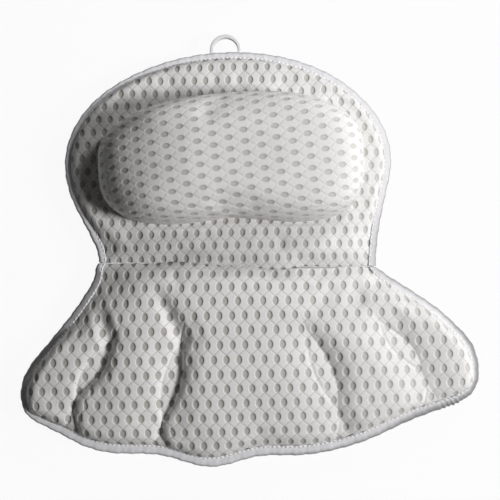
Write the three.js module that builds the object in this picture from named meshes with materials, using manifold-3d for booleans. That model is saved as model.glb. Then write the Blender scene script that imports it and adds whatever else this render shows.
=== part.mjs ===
// Bath pillow of spacer mesh: a head panel with a sewn-on neck roll, folded at the waist to a
// fan-shaped back panel quilted into five lobes, standing on six suction cups.
// It lies on its back, front face up: +Z is the front, +Y runs towards the head, +X is to the right.
import * as THREE from "three";
import { mergeVertices } from "three/addons/utils/BufferGeometryUtils.js";
import Module from "manifold-3d";

const wasm = await Module();
wasm.setup();

// Driving dimensions in millimetres; outline heights and drops are measured from the waist seam
const CLEARANCE = 0.3;

// Head panel outline, at the cut edge of the covers
const HEAD_HALF_WIDTH = 149.5;
const HEAD_HEIGHT = 195;
const HEAD_WIDEST = 95;
const WAIST_HALF_WIDTH = 126;
const NECKING = 32;

// Back panel outline, right half, as [distance from the middle, drop below the seam]
const SHOULDER = [156, 30];
const FLANK = [186, 61];
const WING = [210, 94];
const WING_CORNER = [207, 131];
const OUTER_FOOT = [167, 150];
const INNER_LOBE_FOOT = [128, 163.5];
const INNER_FOOT = [86, 172.5];
const CENTRE_LOBE_FOOT = [43, 181.5];
const HEM_DROP = 178;

// Quilting channels of the back panel, right half, as [distance, drop], and their half widths
const INNER_SEAM = 40;
const INNER_TOP = [58, 64];
const INNER_PINCH = [81, 140];
const OUTER_SEAM = 92;
const OUTER_TOP = [124, 61];
const OUTER_PINCH = [160, 112];
const CHANNEL_HALF_WIDTH = 6.5;
const CHANNEL_FLARE = 12;

// Neck roll outline and height
const ROLL_HALF_LENGTH = 123;
const ROLL_HALF_DEPTH = 59;
const ROLL_CENTRE = 98;
const ROLL_SQUARENESS = 2.7;
const ROLL_WAIST = 7;
const ROLL_CROWN = 56;
const ROLL_SADDLE = 4;

// Thickness of the fabrics and of the padding
const FRONT_THICKNESS = 3;
const REAR_THICKNESS = 2.6;
const QUILTED_PADDING = 3;
const LOBE_CROWN = 25;
const LOBE_SHOULDER = 24;
const SEAM_SHOULDER = 34;
const HEAD_PADDING = 9;
const BAND_CROWN = 8;

// Edge binding, waist seam and hanging loop
const BINDING_THICKNESS = 1.2;
const BINDING_WRAP = 6.5;
const STITCH_MARGIN = 1;
const SEAM_HALF_GAP = 2.4;
const SEAM_FLAT = 4;
const BINDING_END = 4.8;
const LOOP_RADIUS = 14;
const LOOP_THICKNESS = 2.2;
const LOOP_WIDTH = 6;

// Suction cups, and their places as [distance from the middle, height above the seam]
const CUP_RADIUS = 21;
const CUP_LIP = 3;
const CUP_LIP_HEIGHT = 1.2;
const CUP_DEPTH = 7.2;
const CUP_HEIGHT = 12;
const CUP_SHOULDER_RADIUS = 9;
const NECK_RADIUS = 5;
const KNOB_RADIUS = 8;
const KNOB_THICKNESS = 3;
const KNOB_CHAMFER = 1;
const PATCH_RADIUS = 17;
const PATCH_THICKNESS = 1.6;
const HEAD_CUP = [84, 122];
const WAIST_CUP = [70, -38];
const LOBE_CUP = [116, -112];

// Facets
const ROUND_SEGMENTS = 16;
const BACK_ROWS = 13;
const LOBE_COLUMNS = [5, 6, 5];
const NECKING_STEPS = 5;
const CROWN_STEPS = 20;
const SEAM_STEPS = 6;
const BAND_RINGS = [0, 0.25, 0.5, 0.75, 1];
const ROLL_RINGS = [0.35, 0.6, 0.78, 0.9, 0.97, 1];

// Levels above the surface that the cups stand on
const patchBottom = CUP_HEIGHT + CLEARANCE;
const rearBottom = patchBottom + PATCH_THICKNESS + CLEARANCE;
const rearTop = rearBottom + REAR_THICKNESS;
const edgeBottom = rearTop + CLEARANCE;
const edgeTop = edgeBottom + FRONT_THICKNESS;
const foldLevel = (rearBottom + edgeTop) / 2;
const rollSeat = edgeTop + HEAD_PADDING;
const rollBottom = rollSeat + CLEARANCE;

const flange = BINDING_WRAP + STITCH_MARGIN;
const bindingReach = CLEARANCE + BINDING_THICKNESS;
const loopFold = HEAD_HEIGHT + bindingReach + CLEARANCE + LOOP_WIDTH / 2;
const lowestDrop = Math.max(CENTRE_LOBE_FOOT[1], HEM_DROP) + bindingReach;
const seamY = (lowestDrop - loopFold - LOOP_RADIUS) / 2;

const mix = (a, b, share) => a + (b - a) * share;
const clamp = (value) => Math.min(Math.max(value, 0), 1);
const smooth = (value) => clamp(value) ** 2 * (3 - 2 * clamp(value));
const point = ([x, y]) => new THREE.Vector2(x, y);
const below = ([x, drop]) => new THREE.Vector2(x, -drop);

// Rise of a stuffed skin from a sewn line to its full height, as a quarter ellipse and as a slope
const swell = (distance, width) => Math.sqrt(1 - (1 - clamp(distance / width)) ** 2);
const ease = (distance, width) => Math.sin((clamp(distance / width) * Math.PI) / 2);

// Solids

function toManifold(geometry) {
  geometry.deleteAttribute("normal");
  geometry.deleteAttribute("uv");
  const merged = mergeVertices(geometry, 1e-4);
  const mesh = new wasm.Mesh({
    numProp: 3,
    vertProperties: new Float32Array(merged.attributes.position.array),
    triVerts: new Uint32Array(merged.index.array),
  });
  return new wasm.Manifold(mesh);
}

function toGeometry(manifold) {
  const mesh = manifold.getMesh();
  return indexed(mesh.vertProperties, mesh.triVerts);
}

function indexed(positions, faces) {
  const geometry = new THREE.BufferGeometry();
  geometry.setAttribute("position", new THREE.Float32BufferAttribute(positions, 3));
  geometry.setIndex(Array.from(faces));
  geometry.computeVertexNormals();
  return geometry;
}

// Faces and rim of a sheet of rows and columns, rows running down and columns to the right
function gridSheet(rows, columns) {
  const at = (row, column) => row * columns + column;
  const faces = [];
  for (let row = 0; row < rows - 1; row += 1) {
    for (let column = 0; column < columns - 1; column += 1) {
      const corners = [at(row, column), at(row + 1, column), at(row + 1, column + 1), at(row, column + 1)];
      faces.push(corners[0], corners[1], corners[2], corners[0], corners[2], corners[3]);
    }
  }
  const rim = [];
  for (let row = 0; row < rows - 1; row += 1) rim.push(at(row, 0));
  for (let column = 0; column < columns - 1; column += 1) rim.push(at(rows - 1, column));
  for (let row = rows - 1; row > 0; row -= 1) rim.push(at(row, columns - 1));
  for (let column = columns - 1; column > 0; column -= 1) rim.push(at(0, column));
  return { faces, rim };
}

// Faces and rim of a round sheet: one middle point, then rings of points turning to the left
function ringSheet(rings, count) {
  const at = (ring, step) => 1 + ring * count + (step % count);
  const faces = [];
  for (let step = 0; step < count; step += 1) {
    faces.push(0, at(0, step), at(0, step + 1));
    for (let ring = 0; ring < rings - 1; ring += 1) {
      faces.push(at(ring, step), at(ring + 1, step), at(ring + 1, step + 1));
      faces.push(at(ring, step), at(ring + 1, step + 1), at(ring, step + 1));
    }
  }
  const rim = Array.from({ length: count }, (_, step) => at(rings - 1, step));
  return { faces, rim };
}

// A closed solid between an upper and a lower sheet of points with the same faces
function thicken({ faces, rim }, upper, lower) {
  const count = upper.length;
  const all = [...faces];
  for (let k = 0; k < faces.length; k += 3) {
    all.push(count + faces[k], count + faces[k + 2], count + faces[k + 1]);
  }
  rim.forEach((from, k) => {
    const to = rim[(k + 1) % rim.length];
    all.push(count + from, count + to, to, count + from, to, from);
  });
  return indexed([...upper, ...lower].flatMap((p) => [p.x, p.y, p.z]), all);
}

const raised = (places, height) => places.map((p) => new THREE.Vector3(p.x, p.y, height(p)));

// A tape folded over the edge of the covers; its stations turn to the left round a panel
function foldedTape(stations) {
  const outer = bindingReach;
  const topInside = edgeTop + CLEARANCE;
  const topOutside = topInside + BINDING_THICKNESS;
  const bottomInside = rearBottom - CLEARANCE;
  const bottomOutside = bottomInside - BINDING_THICKNESS;
  const section = [
    [-BINDING_WRAP, topInside],
    [-BINDING_WRAP, topOutside],
    [outer, topOutside],
    [outer, bottomOutside],
    [-BINDING_WRAP, bottomOutside],
    [-BINDING_WRAP, bottomInside],
    [CLEARANCE, bottomInside],
    [CLEARANCE, topInside],
  ];
  const size = section.length;
  const positions = stations.flatMap(({ place, outward }) =>
    section.flatMap(([reach, z]) => [place.x + outward.x * reach, place.y + outward.y * reach, z])
  );
  const faces = [];
  for (let k = 0; k < stations.length - 1; k += 1) {
    for (let side = 0; side < size; side += 1) {
      const a = k * size + side;
      const b = k * size + ((side + 1) % size);
      faces.push(a, b, b + size, a, b + size, a + size);
    }
  }
  const last = (stations.length - 1) * size;
  for (const [a, b, c] of THREE.ShapeUtils.triangulateShape(section.map(point), [])) {
    faces.push(a, b, c, last + a, last + c, last + b);
  }
  return indexed(positions, faces);
}

// A flat cover cut to an outline, with a round hole for each suction cup's neck
function flatCover(outline, cups) {
  const shape = new THREE.Shape(outline);
  for (const [x, y] of cups) {
    shape.holes.push(new THREE.Path().absarc(x, y, NECK_RADIUS + CLEARANCE, 0, Math.PI * 2));
  }
  const options = { depth: REAR_THICKNESS, bevelEnabled: false, curveSegments: ROUND_SEGMENTS };
  return new THREE.ExtrudeGeometry(shape, options).translate(0, 0, rearBottom);
}

// Padding with a pocket below for each suction cup's knob
function withPockets(geometry, cups) {
  const depth = KNOB_THICKNESS + 2 * CLEARANCE;
  const radius = KNOB_RADIUS + 2 * CLEARANCE;
  let solid = toManifold(geometry);
  for (const [x, y] of cups) {
    const pocket = new THREE.CylinderGeometry(radius, radius, 2 * depth, ROUND_SEGMENTS);
    pocket.rotateX(Math.PI / 2).translate(x, y, edgeBottom);
    solid = solid.subtract(toManifold(pocket));
  }
  return toGeometry(solid);
}

// Back panel sheet

const halfOutline = [
  [WAIST_HALF_WIDTH, SEAM_HALF_GAP],
  SHOULDER,
  FLANK,
  WING,
  WING_CORNER,
  OUTER_FOOT,
  INNER_LOBE_FOOT,
  INNER_FOOT,
  CENTRE_LOBE_FOOT,
];
const otherHalf = halfOutline.map(([x, drop]) => [-x, drop]).reverse();
const wholeOutline = [...halfOutline, [0, HEM_DROP], ...otherHalf];
const backEdge = new THREE.SplineCurve(wholeOutline.map(below));

// Knots are counted along the outline from the right end of the waist
const middleKnot = halfOutline.length;
const innerKnot = halfOutline.indexOf(INNER_FOOT);
const outerKnot = halfOutline.indexOf(OUTER_FOOT);
const cornerKnot = halfOutline.indexOf(WING_CORNER);
const CORNER_TURN = 0.12;

// The cut edge of the covers at a knot, with its outward direction, and the line sewn beside it
function edgeAt(knot) {
  const share = knot / (wholeOutline.length - 1);
  const tangent = backEdge.getTangent(share);
  return { place: backEdge.getPoint(share), outward: new THREE.Vector2(-tangent.y, tangent.x) };
}

function sewnAt(knot) {
  const { place, outward } = edgeAt(knot);
  return place.addScaledVector(outward, -flange);
}

const puffTop = -(SEAM_HALF_GAP + SEAM_FLAT);
const channelLine = (seam, top, pinch, knot) =>
  new THREE.SplineCurve([point([seam, puffTop]), below(top), below(pinch), sewnAt(knot)]);
const innerChannel = channelLine(INNER_SEAM, INNER_TOP, INNER_PINCH, innerKnot);
const outerChannel = channelLine(OUTER_SEAM, OUTER_TOP, OUTER_PINCH, outerKnot);
const middleFoot = sewnAt(middleKnot);

// Lines that fan out from the seam to the hem: the middle, two channels and the right side
const fanLines = [
  (down) => new THREE.Vector2(0, mix(puffTop, middleFoot.y, down)),
  (down) => innerChannel.getPointAt(down),
  (down) => outerChannel.getPointAt(down),
  (down) => sewnAt(cornerKnot * down),
];
const footKnots = [middleKnot, innerKnot, outerKnot, cornerKnot];
const SIDE = 3;

const spanOf = (fan) => Math.min(Math.floor(Math.abs(fan)), SIDE - 1);
const acrossSpan = (values, fan) =>
  mix(values[spanOf(fan)], values[spanOf(fan) + 1], Math.abs(fan) - spanOf(fan));

// A place on the puffed part of the panel; fan counts the lines outwards from the middle
function fanPlace(fan, down) {
  const near = fanLines[spanOf(fan)];
  const far = fanLines[spanOf(fan) + 1];
  const share = Math.abs(fan) - spanOf(fan);
  const across = near(down).lerp(far(down), share);
  const straightFoot = near(1).lerp(far(1), share);
  const place = across.addScaledVector(sewnAt(acrossSpan(footKnots, fan)).sub(straightFoot), down);
  if (fan < 0) place.x = -place.x;
  return place;
}

// Arc-length shares of a channel's top and pinch
function channelShares(line) {
  const STEPS = 300;
  const lengths = line.getLengths(STEPS);
  return { top: lengths[STEPS / 3] / lengths[STEPS], pinch: lengths[(2 * STEPS) / 3] / lengths[STEPS] };
}

const channels = [
  { fan: 1, ...channelShares(innerChannel) },
  { fan: 2, ...channelShares(outerChannel) },
];
const CHANNEL_RUN_IN = 0.15;

// Half width of the flat strip between two lobes: a leaf, a pinch, then a flare to the hem
function stripWidth({ top, pinch }, down) {
  const leaf = Math.sin(Math.PI * clamp((down - top) / (pinch - top)));
  const flare = clamp((down - pinch) / (1 - pinch));
  return CHANNEL_HALF_WIDTH * leaf + CHANNEL_FLARE * flare ** 2;
}

// Height of the back panel's front above the edge of the covers
function backPuff(fan, down) {
  const place = fanPlace(fan, down);
  const side = fan < 0 ? -1 : 1;
  const toHem = place.distanceTo(fanPlace(fan, 1));
  const toSide = place.distanceTo(fanPlace(SIDE * side, down));
  const seam = ease(place.distanceTo(fanPlace(fan, 0)), SEAM_SHOULDER);
  let lobe = seam * swell(toHem, LOBE_SHOULDER) * swell(toSide, LOBE_SHOULDER);
  for (const channel of channels) {
    const sewn = smooth((down - channel.top + CHANNEL_RUN_IN) / (2 * CHANNEL_RUN_IN));
    for (const line of [-channel.fan, channel.fan]) {
      const beside = place.distanceTo(fanPlace(line, down)) - stripWidth(channel, down);
      lobe *= 1 - sewn * (1 - swell(Math.max(beside, 0), LOBE_SHOULDER));
    }
  }
  const quilted = QUILTED_PADDING * seam * swell(Math.min(toHem, toSide), flange);
  return quilted + (LOBE_CROWN - QUILTED_PADDING) * lobe;
}

// Columns and rows of the sheet stand closer together beside the sewn lines
const evenly = (count) => Array.from({ length: count + 1 }, (_, k) => k / count);
const crowded = (share) => mix(share, (1 - Math.cos(Math.PI * share)) / 2, 0.6);
const crowdedEnd = (share) => Math.sin((share * Math.PI) / 2);
const rightFans = LOBE_COLUMNS.flatMap((count, span) =>
  evenly(count).slice(1).map((share) => span + (span ? crowded(share) : crowdedEnd(share)))
);
const fans = [...rightFans.map((fan) => -fan).reverse(), 0, ...rightFans];
const downs = evenly(BACK_ROWS).map(crowded);

// Edge stations of the right half from the waist to the middle of the hem, and of the whole panel
const sideKnots = downs.map((down) => mix(CORNER_TURN, cornerKnot - CORNER_TURN, down));
const hemKnots = [middleKnot, innerKnot, outerKnot, cornerKnot + CORNER_TURN];
const rightHem = rightFans.map((fan) => acrossSpan(hemKnots, fan));
const rightKnots = [0, ...sideKnots, cornerKnot, ...rightHem.reverse()];
const mirror = ({ place, outward }) => ({
  place: new THREE.Vector2(-place.x, place.y),
  outward: new THREE.Vector2(-outward.x, outward.y),
});
const rightStations = rightKnots.map(edgeAt);
const backStations = [...rightStations.map(mirror), edgeAt(middleKnot), ...rightStations.reverse()];

// Every node of the sheet, with its height above the edge as z
const edgeNode = (knot, side) => {
  const { place } = edgeAt(knot);
  return new THREE.Vector3(side * place.x, place.y, 0);
};
const puffRows = downs.map((down) =>
  fans.map((fan) => {
    const place = fanPlace(fan, down);
    return new THREE.Vector3(place.x, place.y, backPuff(fan, down));
  })
);
const bordered = (knot, row) => [edgeNode(knot, -1), ...row, edgeNode(knot, 1)];
const seamRow = puffRows[0].map((p) => new THREE.Vector3(p.x, -SEAM_HALF_GAP, 0));
const hemRow = fans.map((fan) => edgeNode(acrossSpan(hemKnots, fan), fan < 0 ? -1 : 1));
const backRows = [
  bordered(0, seamRow),
  ...puffRows.map((row, k) => bordered(sideKnots[k], row)),
  bordered(cornerKnot, hemRow),
];

function backFrontCover() {
  const nodes = backRows.flat();
  const sheet = gridSheet(backRows.length, backRows[0].length);
  const upper = raised(nodes, (p) => edgeTop + p.z);
  return thicken(sheet, upper, raised(nodes, (p) => edgeBottom + p.z));
}

function backPadding() {
  const rows = puffRows.slice(1, -1).map((row) => row.slice(1, -1));
  const nodes = rows.flat();
  const sheet = gridSheet(rows.length, rows[0].length);
  const upper = raised(nodes, (p) => edgeBottom + p.z - CLEARANCE);
  return withPockets(thicken(sheet, upper, raised(nodes, () => edgeBottom)), backCups);
}

// Head panel sheet and neck roll

const crown = new THREE.EllipseCurve(
  0, HEAD_WIDEST, HEAD_HALF_WIDTH, HEAD_HEIGHT - HEAD_WIDEST, 0, Math.PI
);
const necking = new THREE.CubicBezierCurve(
  point([WAIST_HALF_WIDTH, SEAM_HALF_GAP]),
  point([WAIST_HALF_WIDTH, SEAM_HALF_GAP + NECKING]),
  point([HEAD_HALF_WIDTH, HEAD_WIDEST - NECKING]),
  point([HEAD_HALF_WIDTH, HEAD_WIDEST])
);
const stationOn = (curve) => (share) => {
  const tangent = curve.getTangent(share);
  return { place: curve.getPoint(share), outward: new THREE.Vector2(tangent.y, -tangent.x) };
};
const rightNecking = evenly(NECKING_STEPS).slice(0, -1).map(stationOn(necking));
const headStations = [
  ...rightNecking,
  ...evenly(CROWN_STEPS).map(stationOn(crown)),
  ...rightNecking.map(mirror).reverse(),
];

// Edge of the covers and the line sewn beside it, once round the head panel
const headSeamTop = SEAM_HALF_GAP + SEAM_FLAT;
const seamXs = evenly(SEAM_STEPS).slice(1, -1).map((share) => mix(-1, 1, share));
const sewnBeside = ({ place, outward }) => {
  const sewn = place.clone().addScaledVector(outward, -flange);
  return sewn.setY(Math.max(sewn.y, headSeamTop));
};
const headEdge = [
  ...headStations.map(({ place }) => place),
  ...seamXs.map((x) => point([x * WAIST_HALF_WIDTH, SEAM_HALF_GAP])),
];
const headSewn = [
  ...headStations.map(sewnBeside),
  ...seamXs.map((x) => point([x * (WAIST_HALF_WIDTH - flange), headSeamTop])),
];
const rollMiddle = point([0, ROLL_CENTRE]);

// Outline of the neck roll: a squared oval, drawn in at the middle of its lower side
function rollEdge(towards) {
  const ray = towards.clone().sub(rollMiddle).normalize();
  const along = Math.abs(ray.x / ROLL_HALF_LENGTH) ** ROLL_SQUARENESS;
  const across = Math.abs(ray.y / ROLL_HALF_DEPTH) ** ROLL_SQUARENESS;
  const reach = (along + across) ** (-1 / ROLL_SQUARENESS);
  const drawnIn = ROLL_WAIST * Math.max(-ray.y, 0) ** 4;
  return ray.multiplyScalar(reach - drawnIn).add(rollMiddle);
}
const rollRim = headSewn.map(rollEdge);

const withHeight = (place, height) => new THREE.Vector3(place.x, place.y, height);
const bandHeight = (share) => mix(HEAD_PADDING, 0, share) + BAND_CROWN * Math.sin(Math.PI * share);
const underRoll = rollRim.map((p) => withHeight(p.clone().lerp(rollMiddle, 0.5), HEAD_PADDING));
const bandRings = BAND_RINGS.map((share) =>
  rollRim.map((p, k) => withHeight(p.clone().lerp(headSewn[k], share), bandHeight(share)))
);
const headRings = [underRoll, ...bandRings, headEdge.map((p) => withHeight(p, 0))];
const headMiddle = withHeight(rollMiddle, HEAD_PADDING);

function headFrontCover() {
  const nodes = [headMiddle, ...headRings.flat()];
  const sheet = ringSheet(headRings.length, headEdge.length);
  const upper = raised(nodes, (p) => edgeTop + p.z);
  return thicken(sheet, upper, raised(nodes, (p) => edgeBottom + p.z));
}

function headPadding() {
  const rings = headRings.slice(0, -2);
  const nodes = [headMiddle, ...rings.flat()];
  const sheet = ringSheet(rings.length, headEdge.length);
  const upper = raised(nodes, (p) => edgeBottom + p.z - CLEARANCE);
  return withPockets(thicken(sheet, upper, raised(nodes, () => edgeBottom)), headCups);
}

// Height of the neck roll over its seat, from the middle to its sewn rim
function rollHeight(place, share) {
  const saddle = ROLL_SADDLE * Math.cos((clamp(Math.abs(place.x) / ROLL_HALF_LENGTH) * Math.PI) / 2) ** 2;
  return (ROLL_CROWN - saddle) * Math.sqrt(1 - share ** 2.2);
}
const rollRings = ROLL_RINGS.map((share) =>
  rollRim.map((rim) => {
    const place = rollMiddle.clone().lerp(rim, share);
    return withHeight(place, rollHeight(place, share));
  })
);
const rollTop = withHeight(rollMiddle, rollHeight(rollMiddle, 0));

function rollCover() {
  const nodes = [rollTop, ...rollRings.flat()];
  const sheet = ringSheet(rollRings.length, rollRim.length);
  const upper = raised(nodes, (p) => rollBottom + FRONT_THICKNESS + p.z);
  return thicken(sheet, upper, raised(nodes, (p) => rollBottom + p.z));
}

function rollFilling() {
  const rings = rollRings.slice(0, -1);
  const nodes = [rollTop, ...rings.flat()];
  const sheet = ringSheet(rings.length, rollRim.length);
  const upper = raised(nodes, (p) => rollBottom + p.z - CLEARANCE);
  return thicken(sheet, upper, raised(nodes, () => rollBottom));
}

// Bindings, seam and loop

// The tape stops short of the waist, so that the panels can fold there
function trimmedAtWaist(stations) {
  const kept = stations.filter(({ place }) => Math.abs(place.y) > BINDING_END + flange);
  const endOf = (corner, next) => {
    const run = Math.abs(next.place.y) - Math.abs(corner.place.y);
    const share = (BINDING_END - Math.abs(corner.place.y)) / run;
    const outward = corner.outward.clone().lerp(next.outward, share).normalize();
    return { place: corner.place.clone().lerp(next.place, share), outward };
  };
  return [endOf(stations[0], kept[0]), ...kept, endOf(stations.at(-1), kept.at(-1))];
}

function waistSeam() {
  const radius = SEAM_HALF_GAP - CLEARANCE;
  const cord = new THREE.CylinderGeometry(radius, radius, 2 * WAIST_HALF_WIDTH, ROUND_SEGMENTS);
  return cord.rotateZ(Math.PI / 2).translate(0, 0, foldLevel);
}

// A tape arch whose feet are rounded about the line that it flips on
function hangingLoop() {
  const half = LOOP_WIDTH / 2;
  const inside = LOOP_RADIUS - LOOP_THICKNESS;
  const arch = new THREE.Shape();
  arch.moveTo(LOOP_RADIUS, -half);
  arch.lineTo(LOOP_RADIUS, 0);
  arch.absarc(0, 0, LOOP_RADIUS, 0, Math.PI);
  arch.lineTo(-LOOP_RADIUS, -half);
  arch.lineTo(-inside, -half);
  arch.lineTo(-inside, 0);
  arch.absarc(0, 0, inside, Math.PI, 0, true);
  arch.lineTo(inside, -half);
  const side = new THREE.Shape();
  side.moveTo(half, 0);
  side.lineTo(half, 2 * LOOP_RADIUS);
  side.lineTo(-half, 2 * LOOP_RADIUS);
  side.lineTo(-half, 0);
  side.absarc(0, 0, half, Math.PI, 2 * Math.PI);
  const solid = (shape, depth) =>
    new THREE.ExtrudeGeometry(shape, { depth, bevelEnabled: false, curveSegments: ROUND_SEGMENTS })
      .translate(0, 0, -depth / 2);
  const wide = solid(arch, 2 * LOOP_WIDTH);
  const rounded = solid(side, 4 * LOOP_RADIUS).rotateY(Math.PI / 2);
  return toGeometry(toManifold(wide).intersect(toManifold(rounded))).translate(0, loopFold, foldLevel);
}

// Suction cups and their patches

function suctionCup() {
  const lipInside = CUP_RADIUS - CUP_LIP;
  const knobBottom = rearTop + CLEARANCE;
  const knobTop = knobBottom + KNOB_THICKNESS;
  const dish = [0, 0.5, 0.8].map((share) => [lipInside * share, CUP_DEPTH * (1 - share ** 2)]);
  const dome = [0.45, 0.8].map((share) => [
    mix(CUP_RADIUS, CUP_SHOULDER_RADIUS, share),
    mix(CUP_LIP_HEIGHT, CUP_HEIGHT, Math.sin((share * Math.PI) / 2)),
  ]);
  const profile = [
    ...dish,
    [lipInside, 0],
    [CUP_RADIUS, 0],
    [CUP_RADIUS, CUP_LIP_HEIGHT],
    ...dome,
    [CUP_SHOULDER_RADIUS, CUP_HEIGHT],
    [NECK_RADIUS, CUP_HEIGHT],
    [NECK_RADIUS, knobBottom],
    [KNOB_RADIUS, knobBottom],
    [KNOB_RADIUS, knobTop - KNOB_CHAMFER],
    [KNOB_RADIUS - KNOB_CHAMFER, knobTop],
    [0, knobTop],
  ];
  return new THREE.LatheGeometry(profile.map(point), ROUND_SEGMENTS).rotateX(Math.PI / 2);
}

function cupPatch() {
  const hole = NECK_RADIUS + CLEARANCE;
  const top = patchBottom + PATCH_THICKNESS;
  const profile = [
    [hole, patchBottom],
    [PATCH_RADIUS, patchBottom],
    [PATCH_RADIUS, top],
    [hole, top],
    [hole, patchBottom],
  ];
  return new THREE.LatheGeometry(profile.map(point), ROUND_SEGMENTS).rotateX(Math.PI / 2);
}

// Assembly

const cups = {
  head_left: [-HEAD_CUP[0], HEAD_CUP[1]],
  head_right: HEAD_CUP,
  waist_left: [-WAIST_CUP[0], WAIST_CUP[1]],
  waist_right: WAIST_CUP,
  lobe_left: [-LOBE_CUP[0], LOBE_CUP[1]],
  lobe_right: LOBE_CUP,
};
const headCups = [cups.head_left, cups.head_right];
const backCups = [cups.waist_left, cups.waist_right, cups.lobe_left, cups.lobe_right];

const finish = (color, roughness) => new THREE.MeshStandardMaterial({ color, roughness, metalness: 0 });
const spacerMesh = () => finish(0xdedbd5, 0.9);
const fibre = () => finish(0xf1f0ec, 0.95);
const tape = () => finish(0xdad7e0, 0.7);
const clearPvc = () => finish(0xe3ecee, 0.15);
const coatedCloth = () => finish(0xd2d0cc, 0.6);

const pillow = new THREE.Group();
pillow.name = "bath_pillow";
const assembly = new THREE.Group();
assembly.position.set(0, seamY, 0);
pillow.add(assembly);

function addPiece(name, geometry, material) {
  const mesh = new THREE.Mesh(geometry, material);
  mesh.name = name;
  assembly.add(mesh);
  return mesh;
}

addPiece("head_front_cover", headFrontCover(), spacerMesh());
addPiece("head_padding", headPadding(), fibre());
addPiece("head_rear_cover", flatCover(headEdge, headCups), spacerMesh());
addPiece("head_binding", foldedTape(trimmedAtWaist(headStations)), tape());
addPiece("neck_roll_cover", rollCover(), spacerMesh());
addPiece("neck_roll_filling", rollFilling(), fibre());
addPiece("hanging_loop", hangingLoop(), tape());
addPiece("waist_seam", waistSeam(), tape());
addPiece("back_front_cover", backFrontCover(), spacerMesh());
addPiece("back_padding", backPadding(), fibre());
addPiece("back_rear_cover", flatCover(backStations.map(({ place }) => place), backCups), spacerMesh());
addPiece("back_binding", foldedTape(trimmedAtWaist(backStations)), tape());

for (const [name, [x, y]] of Object.entries(cups)) {
  addPiece(`cup_patch_${name}`, cupPatch(), coatedCloth()).position.set(x, y, 0);
  addPiece(`suction_cup_${name}`, suctionCup(), clearPvc()).position.set(x, y, 0);
}

export default pillow;
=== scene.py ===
"""Bath pillow of white spacer mesh: a head panel with a stuffed neck roll, a fan-shaped quilted back
panel, edge tape with its stitching, a hanging loop and six suction cups, dressed around the frame."""
import math

import bmesh
import bpy
import numpy as np
from bpy.props import FloatProperty, FloatVectorProperty, PointerProperty
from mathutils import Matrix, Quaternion, Vector


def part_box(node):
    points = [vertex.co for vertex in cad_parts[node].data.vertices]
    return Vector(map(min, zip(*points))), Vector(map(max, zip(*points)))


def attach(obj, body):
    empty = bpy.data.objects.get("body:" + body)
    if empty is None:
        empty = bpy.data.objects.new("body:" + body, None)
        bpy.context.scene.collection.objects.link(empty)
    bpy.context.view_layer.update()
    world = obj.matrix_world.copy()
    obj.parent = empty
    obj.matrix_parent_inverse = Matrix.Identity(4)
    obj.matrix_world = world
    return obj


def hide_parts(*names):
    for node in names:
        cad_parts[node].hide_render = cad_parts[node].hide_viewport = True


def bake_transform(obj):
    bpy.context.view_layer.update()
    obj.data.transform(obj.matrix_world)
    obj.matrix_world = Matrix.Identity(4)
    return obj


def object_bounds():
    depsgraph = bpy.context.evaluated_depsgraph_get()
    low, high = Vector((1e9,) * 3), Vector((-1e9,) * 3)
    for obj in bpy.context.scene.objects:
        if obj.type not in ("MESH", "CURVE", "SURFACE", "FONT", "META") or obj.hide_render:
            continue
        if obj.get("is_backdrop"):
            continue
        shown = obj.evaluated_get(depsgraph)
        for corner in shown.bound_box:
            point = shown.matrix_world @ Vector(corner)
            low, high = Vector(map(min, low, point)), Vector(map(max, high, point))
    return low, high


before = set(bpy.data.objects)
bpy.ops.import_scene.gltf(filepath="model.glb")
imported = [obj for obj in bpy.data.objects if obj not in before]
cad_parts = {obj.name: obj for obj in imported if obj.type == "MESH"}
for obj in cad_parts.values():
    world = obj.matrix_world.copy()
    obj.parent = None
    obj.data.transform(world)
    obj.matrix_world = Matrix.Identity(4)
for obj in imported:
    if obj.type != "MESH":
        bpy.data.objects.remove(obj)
cad_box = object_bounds()

bl_info = {
    "name": "Bath pillow",
    "version": (1, 0, 0),
    "blender": (4, 5, 0),
    "location": "3D View > Sidebar > Pillow",
    "description": "Dresses the bath pillow's frame in padded spacer mesh, tape and clear cups",
    "category": "Object",
}

# Levels and places taken from the frame; the front covers' edges are 3 mm thick
seam_low, seam_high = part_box("waist_seam")
head_low, head_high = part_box("head_rear_cover")
front_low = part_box("back_front_cover")[0]
roll_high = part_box("neck_roll_cover")[1]
loop_low, loop_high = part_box("hanging_loop")
SEAM_Y = (seam_low.y + seam_high.y) / 2
FOLD_LEVEL = (seam_low.z + seam_high.z) / 2
WAIST_HALF_WIDTH = seam_high.x
SEAM_RADIUS = (seam_high.y - seam_low.y) / 2
HEAD_HALF_WIDTH = head_high.x
HEAD_HEIGHT = head_high.y - SEAM_Y
REAR_LEVEL = head_low.z
REAR_TOP = head_high.z
FRONT_LEVEL = front_low.z
EDGE_LEVEL = FRONT_LEVEL + 0.003

# Distances from the waist seam's middle: where the covers end, how far off they fold with both panels, and
# where the still part of their bases begins
SEAM_MEET = 0.0002
FOLD_HALF_WIDTH = 0.006
FOLD_REACH = 0.018

# Head panel outline, measured from the waist seam
HEAD_WIDEST = 0.095
NECKING = 0.032

# Head panel's rise: the share of its height left beside the roll, and how far in under the roll it sinks;
# and of its part beside the seam the top, the run, the height as a share of the lobes', the shoulder and the
# vault
ROLL_DIP = 0.85
ROLL_SINK = 0.010
LOW_TOP = 0.055
LOW_RUN = 0.045
LOW_CROWN = 0.8
LOW_SHOULDER = 0.030
LOW_VAULT = 0.75

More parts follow.
